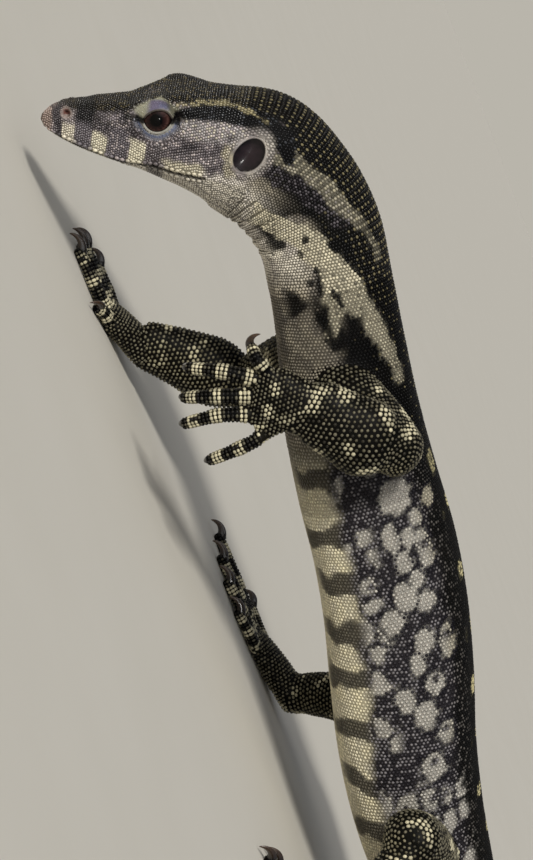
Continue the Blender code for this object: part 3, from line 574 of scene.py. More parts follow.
# %% The relief of the head and throat
def add_relief(points, outward, s, w):
    """Moves the points of a ring to the forms of the head and the folds of the throat."""
    d, y, u = head_place(points)
    theta = degrees_down(w)
    side = np.where(y < 0, -1.0, 1.0)
    flank = np.abs(y)
    move = np.zeros_like(d)
    push = np.zeros_like(d)

    lip = above_mouth(d, u)
    at_mouth = (d < 35.6) & (s < 46)
    line = from_line(d, u, MOUTH_LINE)
    move -= np.where(at_mouth, (0.22 + 0.3 * ramp(12, 24, d)) * np.exp(-(line / 0.28) ** 2), 0)
    move += np.where(at_mouth & (lip > 0), 0.14 * np.exp(-((lip - 0.8) / 0.5) ** 2), 0)
    tuck = JAW_TUCK * np.clip(1 - d / JAW_CORNER, 0, 1) * ramp(0.15, -0.25, lip) * (s < 44)
    push -= flank * tuck
    lift = np.where((lip < 0) & (s < 44), -lip * 0.35 * ramp(26.0, 15.0, d), 0)
    snout_line = 0.45 * within(9.5, 16.5, d, 3.0) - 0.3 * within(20.0, 24.5, d, 3.0)
    lift += snout_line * ramp(1.0, 4.0, u) * (s < 44)

    hole = nostril_place(d, u)
    by_nostril = (flank > 2.0) & (d < 9)
    move -= np.where(by_nostril, 1.2 * ramp(1.0, 0.45, hole), 0)
    move += np.where(by_nostril, 0.26 * np.exp(-((hole - 1.45) / 0.32) ** 2), 0)

    share, x, z = lid_place(d, u)
    rho = x * x + (u - EYE_U) ** 2
    by_eye = (flank > 3.5) & (share < 2.3) & (s < 40)
    lid = EYE_OUT - EYE_RADIUS + np.sqrt(np.maximum(LID_RADIUS ** 2 - rho, 0.4))
    socket = EYE_OUT - EYE_RADIUS + np.sqrt(np.maximum(SOCKET_RADIUS ** 2 - rho, 0.05)) - 0.4
    blend = np.where(z > 0, ramp(1.1, 1.9, share), ramp(1.0, 1.75, share))
    edge = lid * (1 - blend) + flank * blend
    edge += 0.20 * np.exp(-((share - 1.30) / 0.13) ** 2) * (z <= 0)
    edge -= 0.16 * np.exp(-((share - 1.48) / 0.09) ** 2) * (z <= 0)
    edge -= 0.34 * np.exp(-((share - 1.80) / 0.11) ** 2) * (z > 0)
    wanted = np.where(share < 0.97, socket, edge)
    push += np.where(by_eye, wanted - flank, 0)

    cup, _, _ = ear_place(d, u)
    by_ear = (flank > 5) & (cup < 1.8) & (theta > 20)
    bowl = EAR_SIDE - EAR_DEEP * np.sqrt(np.clip(1.0 - 0.8 * cup ** 2, 0, 1)) - 0.55
    bowl = np.minimum(bowl, flank - 2.2)
    inside = ramp(1.06, 0.84, cup)
    push += np.where(by_ear, (bowl - flank) * inside, 0)
    move += np.where(by_ear, 0.34 * np.exp(-((cup - 1.16) / 0.13) ** 2), 0)

    wander = 1.1 * noise(points, 9.0, 3)
    under = ramp(96, 122, theta) * ramp(43, 48, s)
    for fold in THROAT_FOLDS:
        move -= 0.5 * np.exp(-((s + wander - fold) / 0.55) ** 2) * under
        move += 0.18 * np.exp(-((s + wander - fold - 1.3) / 0.9) ** 2) * under
    wrinkle = noise(points, 2.6, 11) * 0.12 * ramp(60, 90, theta) * ramp(44, 52, s)
    move += wrinkle * (1 - ramp(90, 120, s))
    return points + outward * move[..., None] + SIDE * (push * side)[..., None] + CROWN * lift[..., None]


# %% [markdown]
# ## The skin
# The skin is one closed surface without seams. The body is a loft with its rings close together on
# the head, where the forms are small, and wider apart on the tail. One union joins the legs, feet
# and the rims of the lids and ears to it. The sharp creases that the union leaves are then relaxed,
# as skin is over muscle.

# %% Lofts
def closed_loft(rings, tips):
    """Points and faces of a closed surface. A ring has as many points as the last one, or half."""
    points, faces, start = [np.asarray(tips[0])[None]], [], 1
    first = rings[0]
    points.append(first)
    n = len(first)
    faces += [(0, start + (k + 1) % n, start + k) for k in range(n)]
    for ring in rings[1:]:
        m, later = len(ring), start + n
        if m == n:
            faces += [(start + k, start + (k + 1) % n, later + (k + 1) % n, later + k) for k in range(n)]
        else:
            for k in range(m):
                a, b, c = start + 2 * k, start + (2 * k + 1) % n, start + (2 * k + 2) % n
                p, q = later + k, later + (k + 1) % m
                faces += [(a, b, p), (b, q, p), (b, c, q)]
        points.append(ring)
        start, n = later, m
    points.append(np.asarray(tips[1])[None])
    last = start + n
    faces += [(last, start + k, start + (k + 1) % n) for k in range(n)]
    return np.concatenate(points), faces


def new_object(name, data):
    """An object in the scene that shows a mesh, light or camera."""
    piece = bpy.data.objects.new(name, data)
    bpy.context.scene.collection.objects.link(piece)
    return piece


def mesh_object(name, points, faces):
    """An object made of points and faces."""
    mesh = bpy.data.meshes.new(name)
    mesh.from_pydata(np.asarray(points).tolist(), [], faces)
    mesh.update()
    return new_object(name, mesh)


def store(mesh, name, kind, values):
    """Keeps a value for each point of a mesh, which a material or a node tree reads."""
    field = {"FLOAT": "value", "FLOAT_VECTOR": "vector", "FLOAT_COLOR": "color"}[kind]
    mesh.attributes.new(name, kind, "POINT").data.foreach_set(field, np.asarray(values, float).ravel())


def opaque(colours):
    """Colours with the fourth value that a colour attribute wants."""
    return np.column_stack([colours, np.ones(len(colours))])


def face_out(piece):
    """Turns the faces of a closed piece outwards."""
    bm = bmesh.new()
    bm.from_mesh(piece.data)
    bmesh.ops.recalc_face_normals(bm, faces=bm.faces[:])
    bm.to_mesh(piece.data)
    bm.free()


# Step between rings, how far along the body it holds, and the points in a ring.
RING_PLAN = ((0.25, 12.0, 144), (0.36, 46.0, 144), (0.55, 70.0, 144), (1.1, TAIL_STARTS, 72),
             (1.6, KNOTS[-1], 36))
RELIEF_ENDS = 125


def body_rings():
    """Rings of the body, with the relief of the head, and the s and w of each point."""
    plan, s = [], 0.0
    for step, end, sides in RING_PLAN:
        while s < end - step / 2:
            plan.append((s, sides))
            s += step
    rings, marks = [], []
    for s, sides in plan:
        w = np.arange(sides) / sides
        at = np.full(sides, s)
        ring = read_grid(body, at, w)
        turn = np.roll(ring, -1, axis=0) - np.roll(ring, 1, axis=0)
        later = read_grid(body, np.minimum(at + ROW_STEP, KNOTS[-1]), w)
        on = later - read_grid(body, np.maximum(at - ROW_STEP, 0), w)
        outward = unit(np.cross(on, turn))
        middle = ring.mean(axis=0)
        outward *= np.sign(np.sum(outward * (ring - middle), axis=1))[:, None]
        if s < RELIEF_ENDS:
            ring = add_relief(ring, outward, at, w)
        ring[:, 2] = np.maximum(ring[:, 2], FLOOR_CLEAR)
        rings.append(ring)
        marks.append(np.stack([at, w], 1))
    return rings, marks


# Rings that round the end of the snout: how far each stands out, and its share of the first ring.
NOSE_RINGS = ((0.42, 0.35), (0.36, 0.62), (0.24, 0.84))
rings, marks = body_rings()
middle = rings[0].mean(axis=0)
rings = [middle + (rings[0] - middle) * share - BACK * lift for lift, share in NOSE_RINGS] + rings
marks = [marks[0]] * len(NOSE_RINGS) + marks
tail_way = unit(rings[-1].mean(0) - rings[-2].mean(0))
tips = (rings[0].mean(axis=0) - BACK * 0.02, rings[-1].mean(axis=0) + tail_way * 0.3)
skin_points, skin_faces = closed_loft(rings, tips)
skin = mesh_object("skin", skin_points, skin_faces)
face_out(skin)
mark_points = [np.concatenate(rings)]
mark_values = [np.concatenate([np.concatenate(marks), np.full((sum(len(r) for r in rings), 1), -1.0)], 1)]
print("body skin", len(skin_points), "points")

# %% The limbs and the rims of the lids
LIMB_SIDES = {"upper": 40, "lower": 40, "palm": 36, "digit": 16}
operands = bpy.data.collections.new("joined_to_skin")
bpy.context.scene.collection.children.link(operands)


def move_to(piece, home):
    """Puts an object in one collection and no other."""
    for owner in list(piece.users_collection):
        owner.objects.unlink(piece)
    home.objects.link(piece)


for limb in limbs:
    sides = LIMB_SIDES[limb["kind"]]
    pick = (np.arange(sides) * COLUMNS / sides).astype(int)
    loops = [ring[pick] for ring in limb["grid"]]
    ends = (loops[0].mean(axis=0), loops[-1].mean(axis=0))
    points, faces = closed_loft(loops, ends)
    piece = mesh_object("limb", points, faces)
    face_out(piece)
    move_to(piece, operands)
    mark_points.append(np.concatenate(loops))
    at, w = np.repeat(limb["run"], sides), np.tile(pick / COLUMNS, len(loops))
    mark_values.append(np.stack([at, w, np.full(len(at), limb["number"])], 1))

RIM_STEPS, RIM_SIDES, RIM_THICK = 96, 10, 0.26


def lid_curve(side, share, radius):
    """A closed line round the eye at a share of the lids' almond, on a ball of the given radius."""
    angle = 2 * np.pi * np.arange(RIM_STEPS) / RIM_STEPS
    x = LID_LONG * share * np.cos(angle)
    square = 1 - 0.2 * np.abs(np.cos(angle)) ** 3
    z = LID_HIGH * share * square * np.sin(angle) + LID_RAISE * x
    y = EYE_OUT - EYE_RADIUS + np.sqrt(np.maximum(radius ** 2 - x * x - z * z, 0.3))
    return head_point(EYE_D + x, side * y, EYE_U + z)


def ring_tube(line, centre, thick, broad, sides):
    """A closed round edge along a closed line, flattened against a ball round the centre."""
    tangent = unit(np.roll(line, -1, axis=0) - np.roll(line, 1, axis=0))
    outward = unit(line - centre)
    across = unit(np.cross(tangent, outward))
    turn = 2 * np.pi * np.arange(sides) / sides
    points = (line[:, None] + outward[:, None] * (thick * np.sin(turn))[None, :, None]
              + across[:, None] * (broad * np.cos(turn))[None, :, None])
    n = len(line)
    faces = [(k * sides + m, k * sides + (m + 1) % sides, (k + 1) % n * sides + (m + 1) % sides,
              (k + 1) % n * sides + m) for k in range(n) for m in range(sides)]
    return points.reshape(-1, 3), faces


def eye_middle(side):
    """The middle of the left eye at side -1, or of the right one at side 1."""
    return head_point(EYE_D, side * (EYE_OUT - EYE_RADIUS), EYE_U)


for side in (-1, 1):
    line = lid_curve(side, 1.03, EYE_RADIUS + 0.28)
    points, faces = ring_tube(line, eye_middle(side), RIM_THICK, RIM_THICK * 1.25, RIM_SIDES)
    rim = mesh_object("lid_rim", points, faces)
    face_out(rim)
    move_to(rim, operands)
    mark_points.append(points)
    mark_values.append(np.tile(((EYE_D, 0.15 if side < 0 else 0.85, -1.0),), (len(points), 1)))

# %% The rims of the ears
EAR_STEPS, EAR_RIM_AT, EAR_RIM_THICK, EAR_RIM_SUNK = 72, 1.02, 0.34, 0.3
ear_turn = 2 * np.pi * np.arange(EAR_STEPS) / EAR_STEPS
head_bvh = BVHTree.FromPolygons(skin_points.tolist(), skin_faces)
ear_heights = {}
for side in (-1, 1):
    height = []
    for d, u in zip(*ear_oval(ear_turn, 1.16)):
        hit = head_bvh.ray_cast(Vector(head_point(d, side * 30.0, u)), Vector(-side * SIDE))[0]
        height.append(head_place(np.array(hit))[1] * side)
    height = np.array(height)
    for _ in range(14):
        height = (np.roll(height, 1) + 2 * height + np.roll(height, -1)) / 4
    ear_heights[side] = height
    d, u = ear_oval(ear_turn, EAR_RIM_AT)
    line = head_point(d, side * (height - EAR_RIM_SUNK), u)
    inside = head_point(EAR_D, side * (EAR_SIDE - 6.0), EAR_U)
    points, faces = ring_tube(line, inside, EAR_RIM_THICK, EAR_RIM_THICK, RIM_SIDES)
    rim = mesh_object("ear_rim", points, faces)
    face_out(rim)
    move_to(rim, operands)
    mark_points.append(points)
    mark_values.append(np.tile(((EAR_D, 0.2 if side < 0 else 0.8, -1.0),), (len(points), 1)))

# %% The union, and the creases relaxed
union = skin.modifiers.new("union", "BOOLEAN")
union.operation = "UNION"
union.operand_type = "COLLECTION"
union.collection = operands
union.solver = "EXACT"
joined = bpy.data.meshes.new_from_object(skin.evaluated_get(bpy.context.evaluated_depsgraph_get()))
skin.modifiers.clear()
skin.data = joined
for piece in list(operands.objects):
    bpy.data.objects.remove(piece)
bpy.data.collections.remove(operands)

mark_points, mark_values = np.concatenate(mark_points), np.concatenate(mark_values)
mark_tree = KDTree(len(mark_points))
for index, point in enumerate(mark_points):
    mark_tree.insert(point, index)
mark_tree.balance()


def marks_near(points):
    """The run, share of the girth and part of the nearest point of the lofts."""
    return mark_values[[mark_tree.find(p)[1] for p in points]]


CREASE_ANGLE, CREASE_REACH, CREASE_ROUNDS, HEAD_ENDS, MERGE = math.radians(24.0), 4, 14, 52, 0.004
bm = bmesh.new()
bm.from_mesh(skin.data)
bmesh.ops.remove_doubles(bm, verts=bm.verts[:], dist=MERGE)
bmesh.ops.triangulate(bm, faces=[f for f in bm.faces if len(f.verts) > 4])
creased = set()
for edge in bm.edges:
    if len(edge.link_faces) == 2 and edge.calc_face_angle_signed(0.0) < -CREASE_ANGLE:
        d, _, _ = head_place(np.array(edge.verts[0].co))
        if d > HEAD_ENDS:
            creased |= set(edge.verts)
for _ in range(CREASE_REACH):
    creased |= {e.other_vert(v) for v in creased for e in v.link_edges}
for _ in range(CREASE_ROUNDS):
    bmesh.ops.smooth_vert(bm, verts=list(creased), factor=0.5, use_axis_x=True, use_axis_y=True,
                          use_axis_z=True)
bmesh.ops.recalc_face_normals(bm, faces=bm.faces[:])
bm.to_mesh(skin.data)
skin_bvh = BVHTree.FromBMesh(bm)
triangles = sum(len(f.verts) - 2 for f in bm.faces)
open_edges = sum(1 for e in bm.edges if not e.is_manifold)
bm.free()
skin.data.shade_smooth()
print("skin joined,", triangles, "triangles,", open_edges, "open edges")

# %% [markdown]
# ## Markings
# The markings are painted by place, not from a picture: a point's distance along the body and its
# angle down from the back say which band, bar or spot it lies in. The head has pale and dark bars on
# the lips, a black stripe behind the eye with a pale line over it, and pale lids. The neck has
# slanting cream bands. The flank has grey cream patches ringed with black, some with a dark middle,
# and dusty beads between them. The belly has dark bars, the back rows of small yellow spots and the
# tail pale bands. One function colours both the scales and the skin.

# %% Colours
def tone(code):
    """A colour written as sRGB hex, turned to the linear values that the shaders use."""
    values = np.array([int(code[i:i + 2], 16) for i in (1, 3, 5)]) / 255
    return np.where(values <= 0.04045, values / 12.92, ((values + 0.055) / 1.055) ** 2.4)


BLACK, SOOT, UMBER, OLIVE = tone("#0d0c0b"), tone("#1b1915"), tone("#2b261e"), tone("#454030")
BEAD, BRIGHT_BEAD, CREAM = tone("#645f4e"), tone("#b9b194"), tone("#cbc2a8")
PINK_GREY, PALE_PINK, MOUSE, SLATE = tone("#7f7678"), tone("#b6aaa6"), tone("#5a5554"), tone("#3a3538")
BAR_GREY, PATCH_RING, DUSTY = tone("#686266"), tone("#1d1b20"), tone("#7b7778")
FLECK, LEMON, ASH = tone("#857b5a"), tone("#c6bb8e"), tone("#afaaa0")
MAUVE, LID_CREAM, LID_BLUE, FLESH_RED = tone("#645e71"), tone("#94927f"), tone("#5f6883"), tone("#63413a")

# Lines and edges on the side of the head, as d and u.
EYE_STRIPE = ((27.0, 6.9), (29.3, 8.1), (31.3, 8.6), (34.3, 8.8), (38.6, 9.0), (43.0, 8.8), (45.9, 8.0),
              (49.3, 6.3), (52.5, 3.0))
CROWN_EDGE_D = (0, 5, 10, 14, 18, 21, 24, 28, 32, 38, 43, 47)
CROWN_EDGE_U = (2.2, 3.7, 4.4, 5.0, 6.2, 8.0, 9.3, 9.7, 10.1, 10.2, 9.6, 8.6)
PALE_LINE = ((27.7, 9.7), (32.0, 10.3), (37.3, 10.4), (41.6, 10.1), (44.7, 9.2), (46.8, 8.3))

# The neck's dark gap between its bands, by distance along the body and degrees down from the back.
DARK_GAP, NECK_MM_A_DEGREE = ((50, 77), (56, 68), (64, 55)), 0.235
NECK_BANDS = (
    # places along the body and degrees down from the back, half the width in mm, share of the dark rows
    # that is filled, and how pale the band is
    (((46.0, 70), (52, 57), (59.1, 47), (63.8, 41), (69.8, 30), (73.0, 27)), 2.1, 0.2, 0.52),
    (((50, 128), (57, 114), (62, 101), (69.8, 82), (76, 68), (81.6, 57), (87.8, 43), (98.3, 34)),
     2.9, 0.9, 0.97),
    (((76, 84), (82, 84), (87, 92)), 1.3, 0.8, 0.95),
)
FLANK_PATCHES = (
    # middle along, degrees down, half length, half height in degrees, size of a dark middle
    (123.9, 68, 4.4, 14, 0.0), (126.8, 39, 2.4, 7, 0.0), (129.7, 57, 2.2, 6, 0.0),
    (132.2, 81, 3.4, 7, 0.0), (132.9, 68, 2.2, 6, 0.0), (136.4, 57, 5.0, 8, 0.9),
    (137.5, 76, 2.4, 7, 0.0), (141.9, 69, 2.2, 6, 0.0), (144.9, 81, 3.2, 10, 0.0),
    (147.0, 65, 2.6, 8, 0.0), (156.0, 52, 4.0, 8, 1.0), (155.2, 71, 2.8, 8, 0.0),
    (160.3, 78, 2.6, 6, 0.0), (164.7, 65, 2.9, 8, 0.9), (172.0, 74, 3.4, 10, 0.0),
    (168.0, 88, 3.0, 8, 0.0), (176.5, 58, 2.8, 8, 0.8), (184.0, 70, 3.6, 10, 1.0),
    (115.2, 84, 3.2, 9, 0.0), (150.0, 92, 3.0, 8, 0.0),
)
# Millimetres from bar to bar of the belly, and from row to row and spot to spot of the back.
BELLY_BAR_STEP, SPOT_ROW_STEP, SPOT_STEP = 11.5, 12.5, 9.0


def over(base, mask, colour):
    """Paints a colour over another where the mask says."""
    return base + (colour - base) * np.clip(mask, 0, 1)[:, None]


def layered(base, *layers):
    """Paints over a colour in layers, each a mask and its colour."""
    for mask, colour in layers:
        base = over(base, mask, colour)
    return base


# %% The markings of the head
def paint_head(colour, d, y, u, theta, chance, points):
    """Colours of the head, over those of the body, by place on the head."""
    fine, broad = noise(points, 1.6, 21), noise(points, 4.0, 22)
    dd = d + 0.35 * noise(points, 2.0, 23)
    lip = above_mouth(d, u)
    mottle = 0.5 + 0.5 * fine

    # The side of the head behind the eye, then the bars of the lips from the snout back.
    behind_eye = within(29.0, 42.5, d, 3.0) * within(3.2, 7.2, u, 1.6)
    speckle = ramp(0.1, 0.4, noise(points, 1.5, 27)) * within(28.0, 41.0, d, 3.0)
    speckle = speckle * within(-4.5, 6.5, u, 2.0)
    cheek = ramp(0.15, 0.5, noise(points, 2.2, 26)) * within(27, 40, d, 3) * ramp(6.5, 4.5, u)
    jowl = ramp(-2.6, -5.0, u + fine) * ramp(30.0, 36.0, d)
    smudge = ramp(-0.5, 0.2, noise(points, 2.2, 24)) * within(3, 22, d, 3) * ramp(-1.0, 1.4, u)
    bar_one = ramp(1.05 + 0.14 * u, 0.6 + 0.14 * u, np.abs(dd - 2.5 - (3.0 - u) * 0.34))
    side = layered(
        PINK_GREY,
        (0.65 * mottle, MOUSE),
        ((chance < 0.22) * 0.75, PALE_PINK),
        (0.75 * behind_eye * (chance > 0.3), over(tone("#a9a3a0"), (chance > 0.75) * 0.7, CREAM)),
        (0.65 * speckle, SLATE),
        (0.7 * cheek, SLATE),
        (0.6 * within(38.4, 40.6, dd + 0.2 * u + 0.6 * fine, 1.2) * within(-4.0, 3.0, u, 2.0),
         tone("#c9bf9f")),
        (0.85 * jowl * (chance < 0.9), tone("#ddd5c8")),
        (0.8 * smudge * (chance < 0.82), SLATE),
        (within(5, 22, d, 3) * ramp(0.5, 3.0, u) * (chance < 0.35) * 0.7, UMBER),
        (0.7 * ramp(2.6, 1.6, d), tone("#a08a7c")),
        (0.85 * bar_one, SLATE),
        (0.95 * within(4.4, 7.2, dd, 0.6) * ramp(1.6, 0.2, u), tone("#cdc4b0")),
        (0.35 * within(4.4, 7.2, dd, 0.6) * ramp(0.2, 1.6, u), PALE_PINK),
        (0.9 * within(7.3, 10.7, dd + 0.06 * u, 0.7), BAR_GREY),
        (0.9 * within(7.0, 10.8, dd, 0.9) * ramp(0.6, 2.6, u + broad), BLACK),
        (0.95 * within(10.9, 14.2, dd, 0.6) * ramp(0.4, -0.8, u + 0.8 * fine), tone("#d2cab2")),
        (0.9 * within(14.3, 18.7, dd, 0.7) * ramp(2.2, 0.4, u + 1.2 * broad), BAR_GREY),
        ((chance < 0.2) * 0.5 * within(14.4, 18.8, dd, 0.5), PALE_PINK),
        (0.95 * within(18.9, 22.2, dd, 0.6) * ramp(0.9, -0.5, u + 0.8 * broad), tone("#d3cbb2")),
        (0.85 * within(22.4, 26.4, dd, 0.6) * ramp(0.2, -1.0, u), tone("#5c5556")),
        (0.85 * within(26.2, 35.0, d + 1.2 * broad, 2.4) * ramp(-1.7, -3.0, u + 0.6 * fine), CREAM),
        (0.8 * within(17.0, 20.8, d, 1.2) * within(4.3, 5.7, u, 0.8), SOOT),
    )
    crown = layered(
        tone("#1c1812"),
        (0.5 + 0.5 * broad, tone("#100e0c")),
        ((chance < 0.22) * 0.75, tone("#544b33")),
        (0.6 * ramp(17.0, 11.0, d), tone("#2b251e")),
        (0.8 * within(7.0, 10.6, dd, 1.0), BLACK),
        (0.7 * ramp(3.0, 1.8, d), tone("#a48d80")),
    )
    edge = np.interp(d, CROWN_EDGE_D, CROWN_EDGE_U)

    # The lids and the brow.
    share, x, z = lid_place(d, u)
    by_eye = (np.abs(y) > 3.5) * (d < 34)
    upper = (z > 0) * ramp(5.9, 6.7, np.abs(y)) * (d < 34)
    lower = (z <= 0) * by_eye
    brow = ramp(1.15, 0.85, np.hypot((x - 0.2) / 5.6, (z - 2.0) / 2.0) + 0.12 * fine)
    brow = brow * ramp(5.6, 6.4, np.abs(y)) * (d < 34)
    corner = by_eye * ramp(0.9, 0.45, np.abs(z)) * (share < 1.55) * (np.abs(x) > 2.7)

    # The stripe behind the eye and the pale line over it.
    stripe = from_line(d, u, EYE_STRIPE)
    half = np.interp(d, (26, 31, 40, 52), (0.75, 1.35, 1.6, 2.2))
    on_side = np.abs(y) > 4.0
    glint = on_side * (stripe < half) * (chance < 0.14)
    pale = from_line(d, u, PALE_LINE)

    # The ear and the nostril.
    cup, e, f = ear_place(d, u)
    by_ear = (np.abs(y) > 6) * (d > 36)
    pale_rim = by_ear * ramp(1.7, 1.25, cup) * np.clip(0.62 + 0.45 * (e / 3 + f / 6), 0.25, 1)
    hole = nostril_place(d, u)
    by_nostril = (np.abs(y) > 2.0) * (d < 9)
    face = layered(
        side,
        (ramp(edge - 0.5, edge + 0.5, u + 0.5 * broad + 0.2 * fine), crown),
        (brow * (0.45 + 0.45 * (chance > 0.35)), LID_CREAM),
        (upper * ramp(2.0, 1.8, share) * ramp(4.4, 3.5, np.abs(x)), LID_CREAM),
        (upper * within(1.06, 1.72, share + 0.08 * fine, 0.14) * ramp(2.9, 1.3, np.abs(x + 0.2)), MAUVE),
        (upper * within(1.16, 1.5, share, 0.2) * ramp(1.6, 0.4, np.abs(x - 0.9)) * 0.4, LID_BLUE),
        (upper * ramp(1.13, 1.07, share) * 0.85, tone("#39302f")),
        (lower * ramp(1.75, 1.6, share) * 0.8, tone("#6b6b72")),
        (lower * ramp(1.50, 1.38, share) * 0.75, LID_BLUE),
        (lower * ramp(1.25, 1.17, share), tone("#96938a")),
        (corner * 0.95, BLACK),
        (ramp(half + 0.35, half - 0.25, stripe + 0.3 * fine) * on_side * (d > 27.2), tone("#0e0d0e")),
        (glint * 0.25, tone("#5d6066")),
        (ramp(0.48, 0.15, pale + 0.3 * fine) * on_side * (chance < 0.85) * 0.75, tone("#968c6b")),
        (pale_rim, over(tone("#b8b1a4"), 0.5 + 0.5 * fine, tone("#8d8683"))),
        # Inside the ear's cup the wall is near black: painted shade in the hollow.
        (by_ear * ramp(1.0, 0.9, cup), tone("#1a1316")),
        (by_nostril * ramp(1.5, 1.1, hole) * 0.5, tone("#9b8a7f")),
        (by_nostril * ramp(0.95, 0.7, hole), FLESH_RED),
        # The bottom of the nostril's pit is black: painted shade.
        (by_nostril * ramp(0.5, 0.3, hole), BLACK),
    )

    # The throat, the line of the mouth, and the fade into the neck.
    streak = np.sin((u * 1.0 + d * 0.35) * 3.1 + 2.2 * broad)
    bars = within(7.0, 9.6, dd, 1.2) + within(14.4, 18.0, dd, 1.4) + within(23.0, 26.4, dd, 1.4)
    throat = layered(
        tone("#cbc3b2"),
        (0.3 * mottle, MOUSE),
        (0.45 * ramp(0.45, 0.9, streak) * ramp(24, 32, d), MOUSE),
        (0.75 * bars * (theta < 165), SLATE),
    )
    face = over(face, ramp(0.05, -0.3, lip) * (d < 44) * ramp(82, 94, theta), throat)
    # The groove of the mouth is painted near black: painted shade in the groove.
    face = over(face, ramp(0.42, 0.2, from_line(d, u, MOUTH_LINE)) * (d < 36), tone("#1c1716"))
    fade = ramp(46.0, 41.0, d + 3 * ramp(60, 20, theta) - 2 * ramp(90, 130, theta))
    keep = np.maximum(fade, np.maximum(by_ear * ramp(1.75, 1.35, cup), on_side * (stripe < half) * (d < 53)))
    return over(colour, keep, face)


# %% The markings of the neck, trunk, tail and legs
def paint_body(s, theta, left, girth, chance, points, ring):
    """Colours by distance along the body and degrees down from the back."""
    arc = theta / 360 * girth
    broad, fine = noise(points, 5.0, 31), noise(points, 2.0, 32)

    # The neck: rings of dots on the back, pale sides and throat, black blotches and the slanting bands.
    neck = within(38.0, 112.0, s, 8.0)
    pale_ring = np.floor(ring) % 2 == 0
    dot = pale_ring & (ring % 1 > 0.25)
    dotted = neck * ramp(82, 54, theta + 8 * broad) * dot * (chance < 0.9 - 0.6 * ramp(66, 104, s))
    side_pale = neck * ramp(76, 94, theta + 6 * broad)
    throat = within(30.0, 74.0, s, 8.0) * ramp(94, 112, theta + 5 * fine)
    blotch = neck * ramp(0.05, 0.2, noise(points, 7.0, 35) + 0.12 * fine) * within(56, 135, theta, 14)
    blotch = blotch * ramp(48, 60, s)
    gap = from_line(s, theta * NECK_MM_A_DEGREE, [(a, t * NECK_MM_A_DEGREE) for a, t in DARK_GAP])
    colour = layered(
        BLACK,
        (0.35 + 0.35 * broad, SOOT),
        (dotted * 0.85, over(FLECK, 0.35 + 0.3 * fine, OLIVE)),
        (neck * ramp(52, 42, s) * ramp(60, 30, theta) * (chance > 0.5) * 0.4, UMBER),
        (0.9 * side_pale, over(tone("#b3a994"), 0.4 + 0.4 * fine, MOUSE)),
        (0.95 * throat, over(tone("#ded6c5"), 0.15 + 0.35 * fine, PINK_GREY)),
        (0.95 * blotch, BLACK),
        (0.9 * ramp(3.1, 2.5, gap + fine) * (chance < 0.85), tone("#252124")),
        (0.6 * ramp(3.4, 2.2, gap + fine) * (chance < 0.4), tone("#625d60")),
    )
    for line, half, fade, pale in NECK_BANDS:
        far = from_line(s, arc, [(a, t * 84 / 360) for a, t in line])
        half = half * (1 - 0.55 * ramp(60, 36, theta))
        mask = ramp(half + 0.4, half - 0.2, far + 0.9 * fine)
        mask = mask * np.where(pale_ring | (ring == 0), 1.0, 0.35 + 0.6 * (chance < fade))
        cream = over(CREAM, ramp(50, 30, theta) * 0.4, OLIVE)
        colour = over(colour, pale * mask * (0.7 + 0.3 * (chance < 0.7)), cream)
    fleck = within(60, 98, s, 6) * within(62, 108, theta, 8) * ramp(0.5, 0.6, noise(points, 2.2, 38))

    # The flank: dusty beads, then patches by rule, and the placed ones on the left with their rings.
    trunk = ramp(108.0, 118.0, s) * (1 - ramp(TAIL_STARTS + 6, TAIL_STARTS + 22, s))
    flank = trunk * ramp(42, 58, theta + 6 * broad)
    dust = trunk * ramp(20, 50, theta) * (ring > 0) * (chance < 0.4 + 0.4 * flank * ramp(-0.4, 0.4, fine))
    wall, middle, name = cells(s + 40, arc * 1.15, 5.6, 5)
    hollow = (name > 0.8) * ramp(0.22, 0.12, middle)
    cell_patch = ramp(0.19, 0.27, wall + 0.05 * fine) * (name > 0.32) * (1 - hollow)
    free = np.where(left, ramp(186, 190, s) + ramp(92, 98, theta), 1.0)
    zone = trunk * within(46, 116, theta + 6 * fine, 10)
    patches, rings = np.zeros(len(s)), np.zeros(len(s))
    for along, down, half_length, half_height, hole in FLANK_PATCHES:
        far = np.hypot((s - along) / half_length, (theta - down) / half_height)
        far = far + 0.2 * fine + 0.1 * noise(points, 1.0, 36)
        mask = ramp(1.0, 0.88, far)
        rings = np.maximum(rings, within(0.9, 1.25, far, 0.1))
        if hole:
            from_middle = np.hypot(s - along + 1.0, arc - down * girth / 360)
            mask = mask * (1 - ramp(hole + 0.4, hole - 0.2, from_middle))
        patches = np.maximum(patches, mask)

    # The belly and its bars.
    belly = trunk * ramp(112, 124, theta + 5 * broad)
    wave = np.sin(s * 2 * np.pi / BELLY_BAR_STEP + 1.4 * broad)
    bar = ramp(0.15, 0.5, wave) * ramp(178, 150, theta + 10 * broad)
    under = layered(tone("#d9cfae"), (0.25 + 0.25 * fine, ASH), (0.9 * bar, tone("#37332e")))
    colour = layered(
        colour,
        (0.95 * fleck, BLACK),
        (flank * 0.9, tone("#2f2c2f")),
        (dust * 0.8, over(DUSTY, ramp(60, 40, theta) * 0.6, OLIVE)),
        (zone * cell_patch * np.clip(free, 0, 1), ASH),
        (0.8 * trunk * rings * left, PATCH_RING),
        (trunk * patches * left, over(ASH, ramp(62, 44, theta) * 0.5, FLECK)),
        (belly, under),
    )

    # Rows of spots on the back, each row half a step off the last.
    row = np.round((s - 120.0) / SPOT_ROW_STEP)
    off = s - 120.0 - row * SPOT_ROW_STEP + 1.4 * broad
    step = np.where(row % 2 == 0, SPOT_STEP, 0.0)
    spot_arc = np.abs((arc - step * 0.5 + SPOT_STEP / 2) % SPOT_STEP - SPOT_STEP / 2)
    spot = np.hypot(off / 1.6, spot_arc / 2.1)
    spots = ramp(1.15, 0.9, spot) * (1 - 0.8 * ramp(0.42, 0.25, spot))

